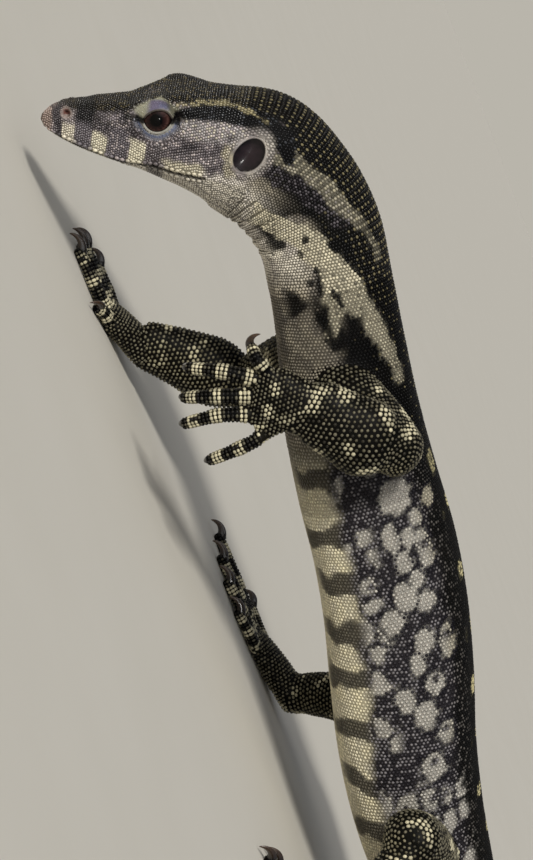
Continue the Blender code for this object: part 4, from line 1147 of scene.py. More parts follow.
    # The bands of the tail, broken into flecks in front.
    tail = ramp(TAIL_STARTS + 2, TAIL_STARTS + 16, s)
    t = s - TAIL_STARTS
    beat = 15.0 - 4.0 * ramp(150, 380, t)
    phase = np.abs((t / beat) % 1.0 - 0.5) * 2
    band = ramp(0.60, 0.80, phase + 0.10 * fine)
    broken = np.clip(ramp(-0.25, 0.15, noise(points, 3.4, 41)) + ramp(120, 220, t), 0, 1)
    return layered(
        colour,
        (trunk * spots * ramp(27, 19, theta) * (chance < 0.85) * 0.85, LEMON),
        (tail * (1 - band), over(BLACK, 0.3 + 0.3 * broad, SOOT)),
        (tail * band * broken * (chance < 0.93), over(LEMON, 0.35 * ramp(60, 140, theta), CREAM)),
        (tail * ((chance < 0.05) * 0.6), FLECK),
        (tail * ramp(140, 165, theta) * ramp(0.25, 0.6, phase) * ramp(250, 150, t) * 0.8, CREAM),
    )


DIGIT_BANDS = ((0.30, 0.41), (0.56, 0.66), (0.79, 0.89))


def paint_limb(limb, share, w, chance, points):
    """Colours of a leg: black skin with pale beads, brighter where they cluster, and banded digits."""
    kind = limb["kind"]
    clump = noise(points, 3.2, 51)
    bright = ramp(0.36, 0.56, clump)
    bead = layered(BEAD, (0.65 * (chance < 0.4), OLIVE), ((chance < 0.10) * 0.8, SOOT),
                   (bright * 0.95, BRIGHT_BEAD))
    if kind == "digit":
        bright = sum(within(start, end, share, 0.02) for start, end in DIGIT_BANDS)
        bead = layered(SOOT, (0.6 * (chance < 0.3), BEAD), (bright * (chance < 0.95), BRIGHT_BEAD))
    if kind == "lower" and limb["leg"].endswith("left"):
        w = (w + 0.5) % 1
    inner = ramp(0.36, 0.44, np.minimum(w, 1 - w))
    return over(bead, inner * 0.4, tone("#7d765c")), bright


def colours_at(values, chance, points, ring):
    """The colour of places given as run, share of the girth and part, and the ring that they are on."""
    run, w, part = values.T
    colour = np.zeros((len(run), 3))
    bright = np.zeros(len(run))
    on = part < -0.5
    if on.any():
        s, p = run[on], points[on]
        theta = degrees_down(w[on])
        girth = np.interp(s, body["run"], body["girth"])
        found = paint_body(s, theta, w[on] < 0.5, girth, chance[on], p, ring[on])
        front = s < 60
        d, y, u = head_place(p[front])
        found[front] = paint_head(found[front], d, y, u, theta[front], chance[on][front], p[front])
        colour[on] = found
    for limb in limbs:
        on = np.abs(part - limb["number"]) < 0.5
        if on.any():
            share = run[on] / limb["run"][-1]
            colour[on], bright[on] = paint_limb(limb, share, w[on], chance[on], points[on])
    return colour, bright


# %% [markdown]
# ## Colour on the skin
# Between the scales the skin is darker than the scales beside it. The lids, the rim of the nostril
# and the ear have bare skin, so there it keeps its full colour.

# %% Skin colour
BARE_DULL, HEAD_DULL, NECK_DULL, GAP_DULL, LIMB_DULL = 1.0, 0.46, 0.32, 0.66, 0.02
points = np.empty(len(skin.data.vertices) * 3)
skin.data.vertices.foreach_get("co", points)
points = points.reshape(-1, 3)
values = marks_near(points)
colour, _ = colours_at(values, np.full(len(points), 0.5), points, np.zeros(len(points)))
d, y, u = head_place(points)
bare = at_openings(d, y, u, upper=1.9, lower=1.64, brow=6.0, nostril=1.5, ear=1.14)
dull = np.interp(values[:, 0], (36, 54, 108, 124), (HEAD_DULL, NECK_DULL, NECK_DULL, GAP_DULL))
dull = np.where(bare, BARE_DULL, np.where(values[:, 2] < -0.5, dull, LIMB_DULL))
store(skin.data, "tint", "FLOAT_COLOR", opaque(colour * dull[:, None]))
print("skin coloured, mean", colour.mean(axis=0).round(3))

# %% [markdown]
# ## Where the scales sit
# Monitor scales are small beads that lie in rings round the body, each ring half a step off the last.
# The rows are laid out on the grids, dropped on to the skin, and left out where they would lie in the
# eye, the nostril, the ear or the mouth, or crowd each other where a leg meets the body.

# %% Rows of scales on a part
draw = np.random.default_rng(20)


def scale_rows(part, first, last, pitch, start_w=0.0, end_w=1.0, stagger=0.87, crowd=0.1):
    """Places along and around a part, in rings that keep one count until the pitch is too far off."""
    runs, shares, pitches, counts = [], [], [], []
    run, count, k = first, 0, 0
    while run < last:
        size = pitch(run) if callable(pitch) else pitch
        girth = np.interp(run, part["run"], part["girth"])
        if count == 0 or abs(girth / count / size - 1) > crowd:
            count = max(4, int(round(girth / size)))
        w = (np.arange(count) + 0.5 * (k % 2) + draw.uniform(-0.11, 0.11, count)) / count % 1.0
        keep = (w >= start_w) & (w <= end_w)
        runs.append(np.full(keep.sum(), run) + draw.uniform(-0.09, 0.09, keep.sum()) * size)
        shares.append(w[keep])
        pitches.append(np.full(keep.sum(), min(size, girth / count)))
        counts.append(k + 0.5 * (np.arange(count)[keep] % 2))
        run += size * stagger
        k += 1
    return [np.concatenate(each) for each in (runs, shares, pitches, counts)]


def body_pitch(s):
    """Millimetres from scale to scale, by distance along the body."""
    return float(np.interp(s, (0, 6, 18, 36, 44, 60, 80, 110, 250, 400, 560, 634),
                           (0.50, 0.52, 0.56, 0.58, 0.60, 0.72, 0.78, 0.84, 0.92, 0.98, 0.85, 0.6)))


LIMB_PITCH = {"upper": 1.15, "lower": 1.15, "palm": 0.98}
SCUTE_STEP, SCUTE_SHARES = 0.84, (0.0, 0.1, 0.2, 0.315, 0.43, 0.57, 0.685, 0.8, 0.9)


def scute_rows(digit):
    """Rings on a digit: three plates on its back and six scales down its sides."""
    runs = np.arange(0.35, digit["run"][-1] - 0.2, SCUTE_STEP)
    run = np.repeat(runs, len(SCUTE_SHARES))
    w = np.tile(SCUTE_SHARES, len(runs))
    girth = np.interp(run, digit["run"], digit["girth"])
    size = girth * 0.112
    return run, w, size, np.repeat(np.arange(len(runs), dtype=float), len(SCUTE_SHARES))


seeds = []
run, w, pitch, ring = scale_rows(body, 0.2, KNOTS[-1] - 0.3, body_pitch)
seeds.append(np.stack([run, w, np.full(len(run), -1.0), pitch, ring], 1))
for limb in limbs:
    if limb["kind"] == "digit":
        run, w, pitch, ring = scute_rows(limb)
    else:
        run, w, pitch, ring = scale_rows(limb, 0.3, limb["run"][-1] - 0.2, LIMB_PITCH[limb["kind"]])
    seeds.append(np.stack([run, w, np.full(len(run), float(limb["number"])), pitch, ring], 1))
print(sum(len(s) for s in seeds), "places laid out")

# %% Chains of scales along the lips and round the lids
LIP_STEP, LIP_RISE, LIP_FALL, LIP_LONG, LIP_HIGH, LIP_THICK = 1.18, 0.82, 0.80, 0.60, 0.46, 0.30
# Round the lids: share of their form, first step of the line, every how many steps, size and height.
LID_CHAINS = [(share, 0, 3, 0.15, 0.09) for share in (1.26, 1.38)]
LID_CHAINS += [(share, 0, 2, 0.15, 0.09) for share in (1.50, 1.62, 1.74, 1.86)]
LID_CHAINS += [(1.70, RIM_STEPS // 2, 3, 0.42 * 0.7, 0.22), (2.0, 0, 2, 0.5 * 0.7, 0.22)]
LID_CHAIN_BALL = 6.5


def on_side(side, d, u):
    """The place on the side of the head at d and u, found by looking in from the side."""
    start = head_point(d, side * 30.0, u)
    hit = skin_bvh.ray_cast(Vector(start), Vector(-side * SIDE))
    return None if hit[0] is None else np.array(hit[0])


chains = []


def add_to_chains(side, d, u, *size):
    """Adds one scale of a given size where the skin is met from the side."""
    spot = on_side(side, d, u)
    if spot is not None:
        chains.append((*spot, *size))


mouth = np.array(MOUTH_LINE[1:])
mouth_run = path_knots(mouth)
for side in (-1, 1):
    for lift in (LIP_RISE, -LIP_FALL):
        for at in np.arange(0.4, mouth_run[-1] - 0.3, LIP_STEP):
            d, u = (np.interp(at, mouth_run, mouth[:, i]) for i in (0, 1))
            high = LIP_HIGH * min(1.0, 0.5 + at / 12)
            add_to_chains(side, d, u + lift * min(1.0, 0.45 + at / 8), LIP_LONG, high, LIP_THICK)
    for share, first, every, wide, high in LID_CHAINS:
        d, _, u = head_place(lid_curve(side, share, LID_CHAIN_BALL))
        for k in range(first, RIM_STEPS, every):
            add_to_chains(side, d[k], u[k], wide, wide, high)
chains = np.array(chains)
print(len(chains), "scales in chains")

# %% Dropping the scales on the skin
LANDING_GAP = 0.75
values = np.concatenate(seeds)
points = np.empty((len(values), 3))
ahead = np.empty((len(values), 3))
for part in [body] + limbs:
    on = np.abs(values[:, 2] - part.get("number", -1)) < 0.5
    run, w = values[on, 0], values[on, 1]
    points[on] = read_grid(part, run, w)
    ahead[on] = read_grid(part, run + 0.5, w) - read_grid(part, run - 0.5, w)
stretch = np.clip(np.linalg.norm(ahead, axis=1), 0.75, 1.4)
reach = values[:, 3]

chain_marks = np.concatenate([marks_near(chains[:, :3]), np.zeros((len(chains), 2))], 1)
values = np.concatenate([chain_marks, values])
points = np.concatenate([chains[:, :3], points])
ahead = np.concatenate([np.tile(BACK, (len(chains), 1)), ahead])
is_chain = np.arange(len(points)) < len(chains)
reach = np.concatenate([chains[:, 3:5].mean(axis=1) * 2, reach])

normals = np.array([v.normal for v in skin.data.vertices])
faces = [tuple(p.vertices) for p in skin.data.polygons]
landed = np.empty_like(points)
up = np.empty_like(points)
far = np.empty(len(points))
for k, point in enumerate(points):
    place, _, index, gap = skin_bvh.find_nearest(Vector(point))
    landed[k], far[k] = place, gap
    up[k] = normals[list(faces[index])].mean(axis=0)
up = unit(up)
d, y, u = head_place(landed)
on_body = values[:, 2] < -0.5
wall = at_openings(d, y, u, upper=1.86, lower=1.60, brow=6.3, nostril=1.12, ear=1.11)
wall |= (from_line(d, u, MOUTH_LINE) < 0.34) & (d < 35.5) & (values[:, 0] < 46)
keep = ~(wall & on_body & ~is_chain) & ((far < LANDING_GAP) | is_chain | (on_body & (values[:, 0] < 50)))
print(keep.sum(), "places left of", len(keep))

# %% Thinning where rows crowd
CROWD, LEAST_REACH = 0.66, 0.3
tree = KDTree(int(keep.sum()))
order = np.nonzero(keep)[0]
for index in order:
    tree.insert(landed[index], int(index))
tree.balance()
taken = np.zeros(len(points), bool)
dropped = ~keep
for index in order:
    if dropped[index]:
        continue
    taken[index] = True
    for _, other, gap in tree.find_range(landed[index], CROWD * max(reach[index], LEAST_REACH)):
        if not taken[other] and gap < CROWD * (reach[index] + reach[other]) / 2:
            dropped[other] = True
keep = ~dropped
print(keep.sum(), "scales")

# %% Colours, sizes and turns of the scales
values, landed, up, ahead, is_chain = values[keep], landed[keep], up[keep], ahead[keep], is_chain[keep]
chance = draw.uniform(0, 1, len(values))
tints, bright = colours_at(values[:, :3], chance, landed, values[:, 4])
tints = tints * draw.uniform(0.74, 1.18, (len(tints), 1))
theta = degrees_down(values[:, 1])
on_body = values[:, 2] < -0.5
s = values[:, 0]
tints[on_body & (s < 44)] *= 1.1
kinds = np.array([limb["kind"] for limb in limbs])
part = values[:, 2].astype(int)
digit = ~on_body & (kinds[part] == "digit")
half = np.where(on_body, 0.49, 0.34 + 0.12 * bright)
half = np.where(digit, 0.44 + 0.11 * bright, half)
scute = digit & (np.minimum(values[:, 1], 1 - values[:, 1]) < 0.15)
trunk = on_body & (s > 112) & (s < TAIL_STARTS + 10)
belly = trunk & (theta > 124)
size = np.empty((len(values), 3))
full = np.concatenate([np.zeros(len(chains)), stretch])[keep]
pitch = values[:, 3]
size[:, 0] = pitch * full * half * np.where(on_body, 1.0, 0.94)
size[:, 1] = pitch * half * np.where(on_body, 1.0, 1.12)
size[:, 2] = np.interp(pitch, (0.4, 0.7, 1.2), (0.13, 0.20, 0.34))
size[trunk, 2] *= 0.75
size[belly, 0] *= 1.12
size[belly, 2] *= 0.75
tail = on_body & (s > TAIL_STARTS + 10)
size[tail, 0] *= 1.12
size[digit, 2] *= 0.8
size[digit, 0] = SCUTE_STEP * (0.40 + 0.12 * bright[digit])
size[scute, 1] = pitch[scute] * (0.44 + 0.08 * bright[scute])
size[scute, 2] = 0.22
size[is_chain] = chains[keep[:len(chains)], 3:6]
size[~is_chain] *= draw.uniform(0.87, 1.09, ((~is_chain).sum(), 1))

# A scale that would pass the floor is pushed up into the foot or tail that rests there.
lean = np.sqrt(1 - np.minimum(up[:, 2] ** 2, 1))
lowest = landed[:, 2] + np.minimum(up[:, 2], 0) * size[:, 2] - lean * size[:, :2].max(axis=1)
landed[:, 2] += np.maximum(0.01 - lowest, 0)

along = unit(ahead - up * np.sum(ahead * up, axis=1, keepdims=True))
across = np.cross(up, along)
turn = np.stack([np.arctan2(across[:, 2], up[:, 2]), np.arcsin(np.clip(-along[:, 2], -1, 1)),
                 np.arctan2(along[:, 1], along[:, 0])], 1)
print("scale pitch", pitch[pitch > 0].min().round(2), "to", pitch.max().round(2), "mm")

# %% [markdown]
# ## The scale itself
# A bead-like scale is a low dome of 22 triangles whose edge is sunk in the skin, and on the tail it
# has a keel. The flat scales of the chest, belly and hips are simpler, with 10 triangles. Geometry
# Nodes sets one on each place, turned along the body. Each carries its own height, which the
# materials read, and gets a small patch of its own on a chart of the skin.

# %% Shapes of scales
def dome_shape(name, sides, square=1.0, keel=0.0, rings=((1.0, -0.35), (0.80, 0.62))):
    """A dome of radius 1 and height 1. Square above 1 makes it plate-like, a keel lifts its middle."""
    turn = 2 * np.pi * (np.arange(sides) + 0.5) / sides
    points, rise, local = [], [], []
    for radius, height in rings:
        for a in turn:
            x = np.sign(np.cos(a)) * abs(np.cos(a)) ** (1 / square) * radius
            y = np.sign(np.sin(a)) * abs(np.sin(a)) ** (1 / square) * radius
            points.append((x, y, height))
            local.append((x * 0.5, y * 0.5, 0.0))
            rise.append(0.0 if height < 0 else 0.8)
    points.append((0.15 * keel, 0.0, 1.0 + 0.25 * keel))
    local.append((0.0, 0.0, 0.0))
    rise.append(1.0)
    n = sides
    last = n * (len(rings) - 1)
    faces = [(k, (k + 1) % n, n + (k + 1) % n, n + k) for k in range(n)] if last else []
    faces += [(last + k, last + (k + 1) % n, last + n) for k in range(n)]
    faces.append(tuple(range(n))[::-1])
    shape = mesh_object(name, points, faces)
    store(shape.data, "rise", "FLOAT", rise)
    store(shape.data, "local", "FLOAT_VECTOR", local)
    shape.data.shade_smooth()
    shape.hide_render = True
    return shape


bead_shape = dome_shape("bead", 6)
grain_shape = dome_shape("grain", 6, rings=((1.0, -0.2),))
keeled_shape = dome_shape("keeled", 6, square=1.1, keel=1.0)


# %% The tree that sets scales on places
def add_node(tree, kind, links=(), **settings):
    """Adds a node with its settings and links: input, source node, and its output if not the first."""
    node = tree.nodes.new(kind)
    for key, value in settings.items():
        if key in node.bl_rna.properties:
            setattr(node, key, value)
        else:
            node.inputs[key.replace("_", " ")].default_value = value
    for name, source, *output in links:
        tree.links.new(source.outputs[output[0] if output else 0], node.inputs[name])
    return node


PATCH_SIZE = 0.003


def scale_tree():
    """The node tree that turns places into a coat of scales."""
    tree = bpy.data.node_groups.new("Set scales on places", "GeometryNodeTree")
    face = tree.interface
    face.new_socket("Places", in_out="INPUT", socket_type="NodeSocketGeometry")
    face.new_socket("Scale shape", in_out="INPUT", socket_type="NodeSocketObject")
    face.new_socket("Finish", in_out="INPUT", socket_type="NodeSocketMaterial")
    face.new_socket("Patch size", in_out="INPUT", socket_type="NodeSocketFloat").default_value = PATCH_SIZE
    face.new_socket("Coat", in_out="OUTPUT", socket_type="NodeSocketGeometry")
    given = add_node(tree, "NodeGroupInput")
    turned = add_node(tree, "GeometryNodeInputNamedAttribute", data_type="FLOAT_VECTOR", Name="turn")
    sized = add_node(tree, "GeometryNodeInputNamedAttribute", data_type="FLOAT_VECTOR", Name="size")
    shape = add_node(tree, "GeometryNodeObjectInfo", [("Object", given, "Scale shape")])
    cloud = add_node(tree, "GeometryNodeMeshToPoints", [("Mesh", given, "Places")])
    setting = add_node(tree, "GeometryNodeInstanceOnPoints", [
        ("Points", cloud), ("Instance", shape, "Geometry"), ("Rotation", turned), ("Scale", sized)])
    real = add_node(tree, "GeometryNodeRealizeInstances", [("Geometry", setting)])
    place = add_node(tree, "GeometryNodeInputNamedAttribute", data_type="FLOAT_VECTOR", Name="place")
    local = add_node(tree, "GeometryNodeInputNamedAttribute", data_type="FLOAT_VECTOR", Name="local")
    patch = add_node(tree, "ShaderNodeVectorMath", [(0, local), (1, given, "Patch size"), (2, place)],
                     operation="MULTIPLY_ADD")
    chart = add_node(tree, "GeometryNodeStoreNamedAttribute", [("Geometry", real), ("Value", patch)],
                     data_type="FLOAT2", domain="CORNER", Name="OFBake")
    soft = add_node(tree, "GeometryNodeSetShadeSmooth", [("Geometry", chart)])
    finish = add_node(tree, "GeometryNodeSetMaterial", [("Geometry", soft), ("Material", given, "Finish")])
    add_node(tree, "NodeGroupOutput", [("Coat", finish)])
    return tree


set_scales = scale_tree()
print("scale tree has", len(set_scales.nodes), "nodes")

# %% [markdown]
# ## Finishes of skin and scales
# Reptile scales are keratin over thin pigmented skin. They are smooth and a little glossy, with a
# darker edge of painted shade where the scale dips into the skin, and their colour comes from the
# markings.


# %% Keratin of the scales
def new_finish(title):
    """A new material with an empty node tree."""
    finish = bpy.data.materials.new(title)
    finish.use_nodes = True
    tree = finish.node_tree
    tree.nodes.clear()
    return finish, tree


def set_stops(node, *stops):
    """Gives a colour ramp its stops, each a place and a linear colour."""
    elements = node.color_ramp.elements
    while len(elements) < len(stops):
        elements.new(0.5)
    for stop, (place, colour) in zip(elements, stops):
        stop.position = place
        stop.color = (*colour, 1.0)


def keratin(title, roughness, painted_shade_at_edge, rim, gloss, coat):
    """Scale keratin, grown in place: the pigment shows through a clear horny layer with a soft gloss. Painted
    shade darkens its edge.
    """
    finish, tree = new_finish(title)
    place = add_node(tree, "ShaderNodeTexCoord")
    pigment = add_node(tree, "ShaderNodeAttribute", attribute_name="tint")
    rise = add_node(tree, "ShaderNodeAttribute", attribute_name="rise")
    # Pigment grains of about 0.25 mm, coarser than real ones so that they show.
    grain = add_node(tree, "ShaderNodeTexNoise", [("Vector", place, "Object")], Scale=4000.0, Detail=2.0)
    spread = add_node(tree, "ShaderNodeMapRange", [("Value", grain)],
                      From_Min=0.3, From_Max=0.7, To_Min=0.82, To_Max=1.16)
    # Each scale is darkened from its top down to its sunk edge: painted shade where it dips into the skin.
    edge_shade_ramp = add_node(tree, "ShaderNodeMapRange", [("Value", rise, "Fac")],
                    From_Min=0.0, From_Max=rim, To_Min=painted_shade_at_edge, To_Max=1.0)
    strength = add_node(tree, "ShaderNodeMath", [(0, spread), (1, edge_shade_ramp)], operation="MULTIPLY")
    shade = add_node(tree, "ShaderNodeVectorMath", [(0, pigment), ("Scale", strength)], operation="SCALE")
    # Fine wear on the horny layer, about 0.12 mm across and some thousandths of a millimetre deep.
    wear = add_node(tree, "ShaderNodeTexNoise", [("Vector", place, "Object")], Scale=8000.0, Detail=2.0)
    bump = add_node(tree, "ShaderNodeBump", [("Height", wear)], Strength=0.25, Distance=0.00003)
    uneven = add_node(tree, "ShaderNodeMapRange", [("Value", grain)],
                      From_Min=0.3, From_Max=0.7, To_Min=roughness - 0.06, To_Max=roughness + 0.08)
    shader = add_node(tree, "ShaderNodeBsdfPrincipled", [
        ("Base Color", shade), ("Normal", bump), ("Roughness", uneven)],
        IOR=1.54, Specular_IOR_Level=gloss, Coat_Weight=coat, Coat_Roughness=0.14)
    add_node(tree, "ShaderNodeOutputMaterial", [("Surface", shader)])
    return finish


bead_keratin = keratin("bead_scale_keratin", roughness=0.30, painted_shade_at_edge=0.25, rim=0.9, gloss=0.13, coat=0.03)
head_keratin = keratin("head_scale_keratin", roughness=0.22, painted_shade_at_edge=0.36, rim=0.85, gloss=0.40, coat=0.14)
belly_keratin = keratin("belly_scale_keratin", roughness=0.40, painted_shade_at_edge=0.74, rim=0.42, gloss=0.08, coat=0.0)


def bare_skin(title):
    """Thin living skin between the scales and on the lids: matter than the scales, finely creased, with
    painted shade in the creases.
    """
    finish, tree = new_finish(title)
    place = add_node(tree, "ShaderNodeTexCoord")
    pigment = add_node(tree, "ShaderNodeAttribute", attribute_name="tint")
    # Creases about 0.3 mm apart. The skin is darkened along them: painted shade in the creases.
    crease = add_node(tree, "ShaderNodeTexVoronoi", [("Vector", place, "Object")],
                      feature="DISTANCE_TO_EDGE", Scale=3000.0)
    painted_crease_shade = add_node(tree, "ShaderNodeMapRange", [("Value", crease, "Distance")],
                     From_Min=0.0, From_Max=0.2, To_Min=0.75, To_Max=1.0)
    shade = add_node(tree, "ShaderNodeVectorMath", [(0, pigment), ("Scale", painted_crease_shade)], operation="SCALE")
    bump = add_node(tree, "ShaderNodeBump", [("Height", crease, "Distance")],
                    Strength=0.35, Distance=0.00008)
    cloudy = add_node(tree, "ShaderNodeTexNoise", [("Vector", place, "Object")], Scale=500.0)
    uneven = add_node(tree, "ShaderNodeMapRange", [("Value", cloudy)],
                      From_Min=0.3, From_Max=0.7, To_Min=0.42, To_Max=0.6)
    shader = add_node(tree, "ShaderNodeBsdfPrincipled", [
        ("Base Color", shade), ("Normal", bump), ("Roughness", uneven)],
        IOR=1.45, Specular_IOR_Level=0.06, Subsurface_Weight=0.06,
        Subsurface_Radius=(0.0012, 0.0006, 0.0004))
    add_node(tree, "ShaderNodeOutputMaterial", [("Surface", shader)])
    return finish


skin_finish = bare_skin("creased_lizard_skin")
skin.data.materials.clear()
skin.data.materials.append(skin_finish)

# %% [markdown]
# ## The coat in pieces
# The scales are made piece by piece, so that no mesh grows too large.

# %% Making the pieces of the coat
packed_eye = sum((Vector(corner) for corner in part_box("eye_left")), Vector()) / 2
SHIFT = packed_eye / MM - Vector(eye_middle(-1))
TO_METRES = Matrix.Scale(MM, 4) @ Matrix.Translation(SHIFT)
print("shift of the frame", [round(v, 3) for v in SHIFT])


def chart_places(run, w, part):
    """Places on a flat chart: the body as one sheet, and each part of a leg as a sheet of its own."""
    chart = np.empty((len(run), 3))
    chart[:, 2] = 0.0
    numbers = np.unique(part)
    cells_across = math.ceil(math.sqrt(len(numbers)))
    for k, number in enumerate(numbers):
        on = part == number
        low, high = run[on].min(), run[on].max()
        a = (run[on] - low) / max(high - low, 1e-6)
        chart[on, 0] = (k % cells_across + 0.02 + 0.96 * a) / cells_across
        chart[on, 1] = (k // cells_across + 0.02 + 0.96 * w[on]) / cells_across
    return chart


def coat_piece(name, on, shape, finish):
    """Sets the scales of one piece and makes them a plain mesh, which rides on the one body."""
    points = landed[on] + up[on] * 0.01
    cloud = bpy.data.meshes.new(name)
    cloud.from_pydata(points.tolist(), [], [])
    store(cloud, "turn", "FLOAT_VECTOR", turn[on])
    store(cloud, "size", "FLOAT_VECTOR", size[on])
    store(cloud, "place", "FLOAT_VECTOR", chart_places(values[on, 0], values[on, 1], part[on]))
    store(cloud, "tint", "FLOAT_COLOR", opaque(tints[on]))
    piece = new_object(name, cloud)
    modifier = piece.modifiers.new("scales", "NODES")
    modifier.node_group = set_scales
    sockets = {item.name: item.identifier for item in set_scales.interface.items_tree}
    modifier[sockets["Scale shape"]] = shape
    modifier[sockets["Finish"]] = finish
    modifier[sockets["Patch size"]] = PATCH_SIZE
    made = bpy.data.meshes.new_from_object(piece.evaluated_get(bpy.context.evaluated_depsgraph_get()))
    piece.modifiers.clear()
    piece.data = made
    for title in ("turn", "size", "place", "local"):
        if title in made.attributes:
            made.attributes.remove(made.attributes[title])
    made.transform(TO_METRES)
    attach(piece, "root")
    print(f"{name}: {on.sum()} scales, {sum(len(p.vertices) - 2 for p in made.polygons)} triangles")


BODY_COATS = (
    # name, start and end along the body, slot, finish, shape
    ("scales_head", 0.0, 41.0, "head_skin", head_keratin, bead_shape),
    ("scales_neck", 41.0, 78.3, "body_skin", bead_keratin, bead_shape),
    ("scales_chest", 78.3, 125.0, "body_skin", bead_keratin, grain_shape),
    ("scales_belly", 125.0, 178.0, "body_skin", belly_keratin, grain_shape),
    ("scales_hips", 178.0, TAIL_STARTS, "body_skin", belly_keratin, grain_shape),
    ("scales_tail_front", TAIL_STARTS, 380.0, "tail_skin", bead_keratin, keeled_shape),
    ("scales_tail_end", 380.0, 700.0, "tail_skin", bead_keratin, keeled_shape),
)
for name, start, end, slot, finish, shape in BODY_COATS:
    coat_piece(name, on_body & (s >= start) & (s < end), shape, finish)
leg_of = np.array([limb["leg"] for limb in limbs])
for leg_name in LEGS:
    on = ~on_body & (leg_of[part] == leg_name)
    coat_piece(f"scales_{leg_name}", on, bead_shape, bead_keratin)
for shape in (bead_shape, grain_shape, keeled_shape):
    bpy.data.objects.remove(shape)

skin.data.transform(TO_METRES)
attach(skin, "root")
flesh = [name for name in frame["nodes"]
         if not name.startswith(("eye_", "eardrum_")) and "_claw_" not in name]
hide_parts(*flesh)
print("the skin stands for", len(flesh), "solids")

# %% [markdown]
# ## Eyes
# The eye is a wet ball with a round black pupil and a reddish brown iris that darkens at its edge.
# The ball is finer than the solid's, and a flat chart centred on the pupil carries the pattern.

# %% Eyeballs
PUPIL_RADIUS, GAZE_FORWARD, GAZE_UP, IRIS_REACH = 1.3, 0.3, 0.3, 4.0


def eyeball(name, side):
    """A ball on the left at side -1 or the right at side 1, with the chart of its gaze."""
    bm = bmesh.new()
    bmesh.ops.create_uvsphere(bm, u_segments=64, v_segments=40, radius=EYE_RADIUS)
    axes = Matrix([list(BACK), list(CROWN), list(SIDE * side)]).transposed()
    bmesh.ops.transform(bm, matrix=axes.to_4x4(), verts=bm.verts[:])
    bmesh.ops.recalc_face_normals(bm, faces=bm.faces[:])
    mesh = bpy.data.meshes.new(name)
    bm.to_mesh(mesh)
    bm.free()
    points = np.array([v.co for v in mesh.vertices])
    flat = np.stack([points @ BACK + GAZE_FORWARD, points @ CROWN - GAZE_UP, points @ SIDE * side], 1)
    store(mesh, "gaze", "FLOAT_VECTOR", flat)
    mesh.transform(Matrix.Translation(Vector(eye_middle(side))))
    mesh.shade_smooth()
    mesh.transform(TO_METRES)
    return new_object(name, mesh)


def eye_finish():
    """A living eye: pigmented iris behind a clear wet cornea, which gives one sharp highlight."""
    finish, tree = new_finish("wet_lizard_eye")
    gaze = add_node(tree, "ShaderNodeAttribute", attribute_name="gaze")
    apart = add_node(tree, "ShaderNodeSeparateXYZ", [("Vector", gaze, "Vector")])
    flat = add_node(tree, "ShaderNodeCombineXYZ", [("X", apart, "X"), ("Y", apart, "Y")])
    radius = add_node(tree, "ShaderNodeVectorMath", [(0, flat)], operation="LENGTH")
    way = add_node(tree, "ShaderNodeVectorMath", [(0, flat)], operation="NORMALIZE")
    spokes = add_node(tree, "ShaderNodeTexNoise", [("Vector", way)], Scale=5.5, Detail=6.0)
    blotch = add_node(tree, "ShaderNodeTexNoise", [("Vector", flat)], Scale=1.4, Detail=3.0)
    share = add_node(tree, "ShaderNodeMapRange", [("Value", radius, "Value")], From_Max=IRIS_REACH)
    bands = add_node(tree, "ShaderNodeValToRGB", [("Fac", share)])
    pupil, pupil_black = PUPIL_RADIUS / IRIS_REACH, BLACK * 0.1
    set_stops(bands, (0.0, pupil_black), (pupil - 0.015, pupil_black), (pupil + 0.015, tone("#20120f")),
              (0.42, tone("#2e1b1a")), (0.50, tone("#38221f")), (0.58, tone("#553a34")),
              (0.63, tone("#432c27")), (0.69, tone("#1c1211")), (0.80, tone("#0b0808")))
    shading = add_node(tree, "ShaderNodeMapRange", [("Value", spokes)],
                       From_Min=0.35, From_Max=0.65, To_Min=0.45, To_Max=1.25)
    patchy = add_node(tree, "ShaderNodeMapRange", [("Value", blotch)],
                      From_Min=0.35, From_Max=0.65, To_Min=0.42, To_Max=0.8)
    both = add_node(tree, "ShaderNodeMath", [(0, shading), (1, patchy)], operation="MULTIPLY")
    shade = add_node(tree, "ShaderNodeVectorMath", [(0, bands), ("Scale", both)], operation="SCALE")
    shader = add_node(tree, "ShaderNodeBsdfPrincipled", [("Base Color", shade)],
                      Roughness=0.3, IOR=1.376, Specular_IOR_Level=0.05, Coat_Weight=0.24,
                      Coat_Roughness=0.02)
    add_node(tree, "ShaderNodeOutputMaterial", [("Surface", shader)])
    return finish


wet_eye = eye_finish()
for side, word in ((-1, "left"), (1, "right")):
    eye = eyeball(f"fine_eye_{word}", side)
    eye.data.materials.append(wet_eye)
    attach(eye, "root")
    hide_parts(f"eye_{word}")

# %% [markdown]
# ## Eardrums
# A monitor's ear is a cup closed by a thin dark membrane that sags inwards a little.

# %% Eardrum membranes
DRUM_RINGS, DRUM_THICK, DRUM_SUNK, DRUM_SAG = 16, 0.35, 0.95, 0.6


def eardrum(name, side):
    """A thin disc inside the rim of an ear, which sags inwards."""
    rings = []
    edge = ear_heights[side] - DRUM_SUNK
    for face in (0.0, DRUM_THICK):
        shares = np.linspace(0.06, 1.0, DRUM_RINGS)
        for share in shares if face == 0.0 else shares[::-1]:
            d, u = ear_oval(ear_turn, share)
            sag = edge * share + edge.mean() * (1 - share) - DRUM_SAG * (1 - share ** 2)
            rings.append(head_point(d, side * (sag - face), u))
    points, faces = closed_loft(rings, (rings[0].mean(0), rings[-1].mean(0)))
    drum = mesh_object(name, points, faces)
    face_out(drum)
    d, _, u = head_place(points)
    store(drum.data, "reach", "FLOAT", ear_place(d, u)[0])
    drum.data.shade_smooth()
    drum.data.transform(TO_METRES)
    return drum


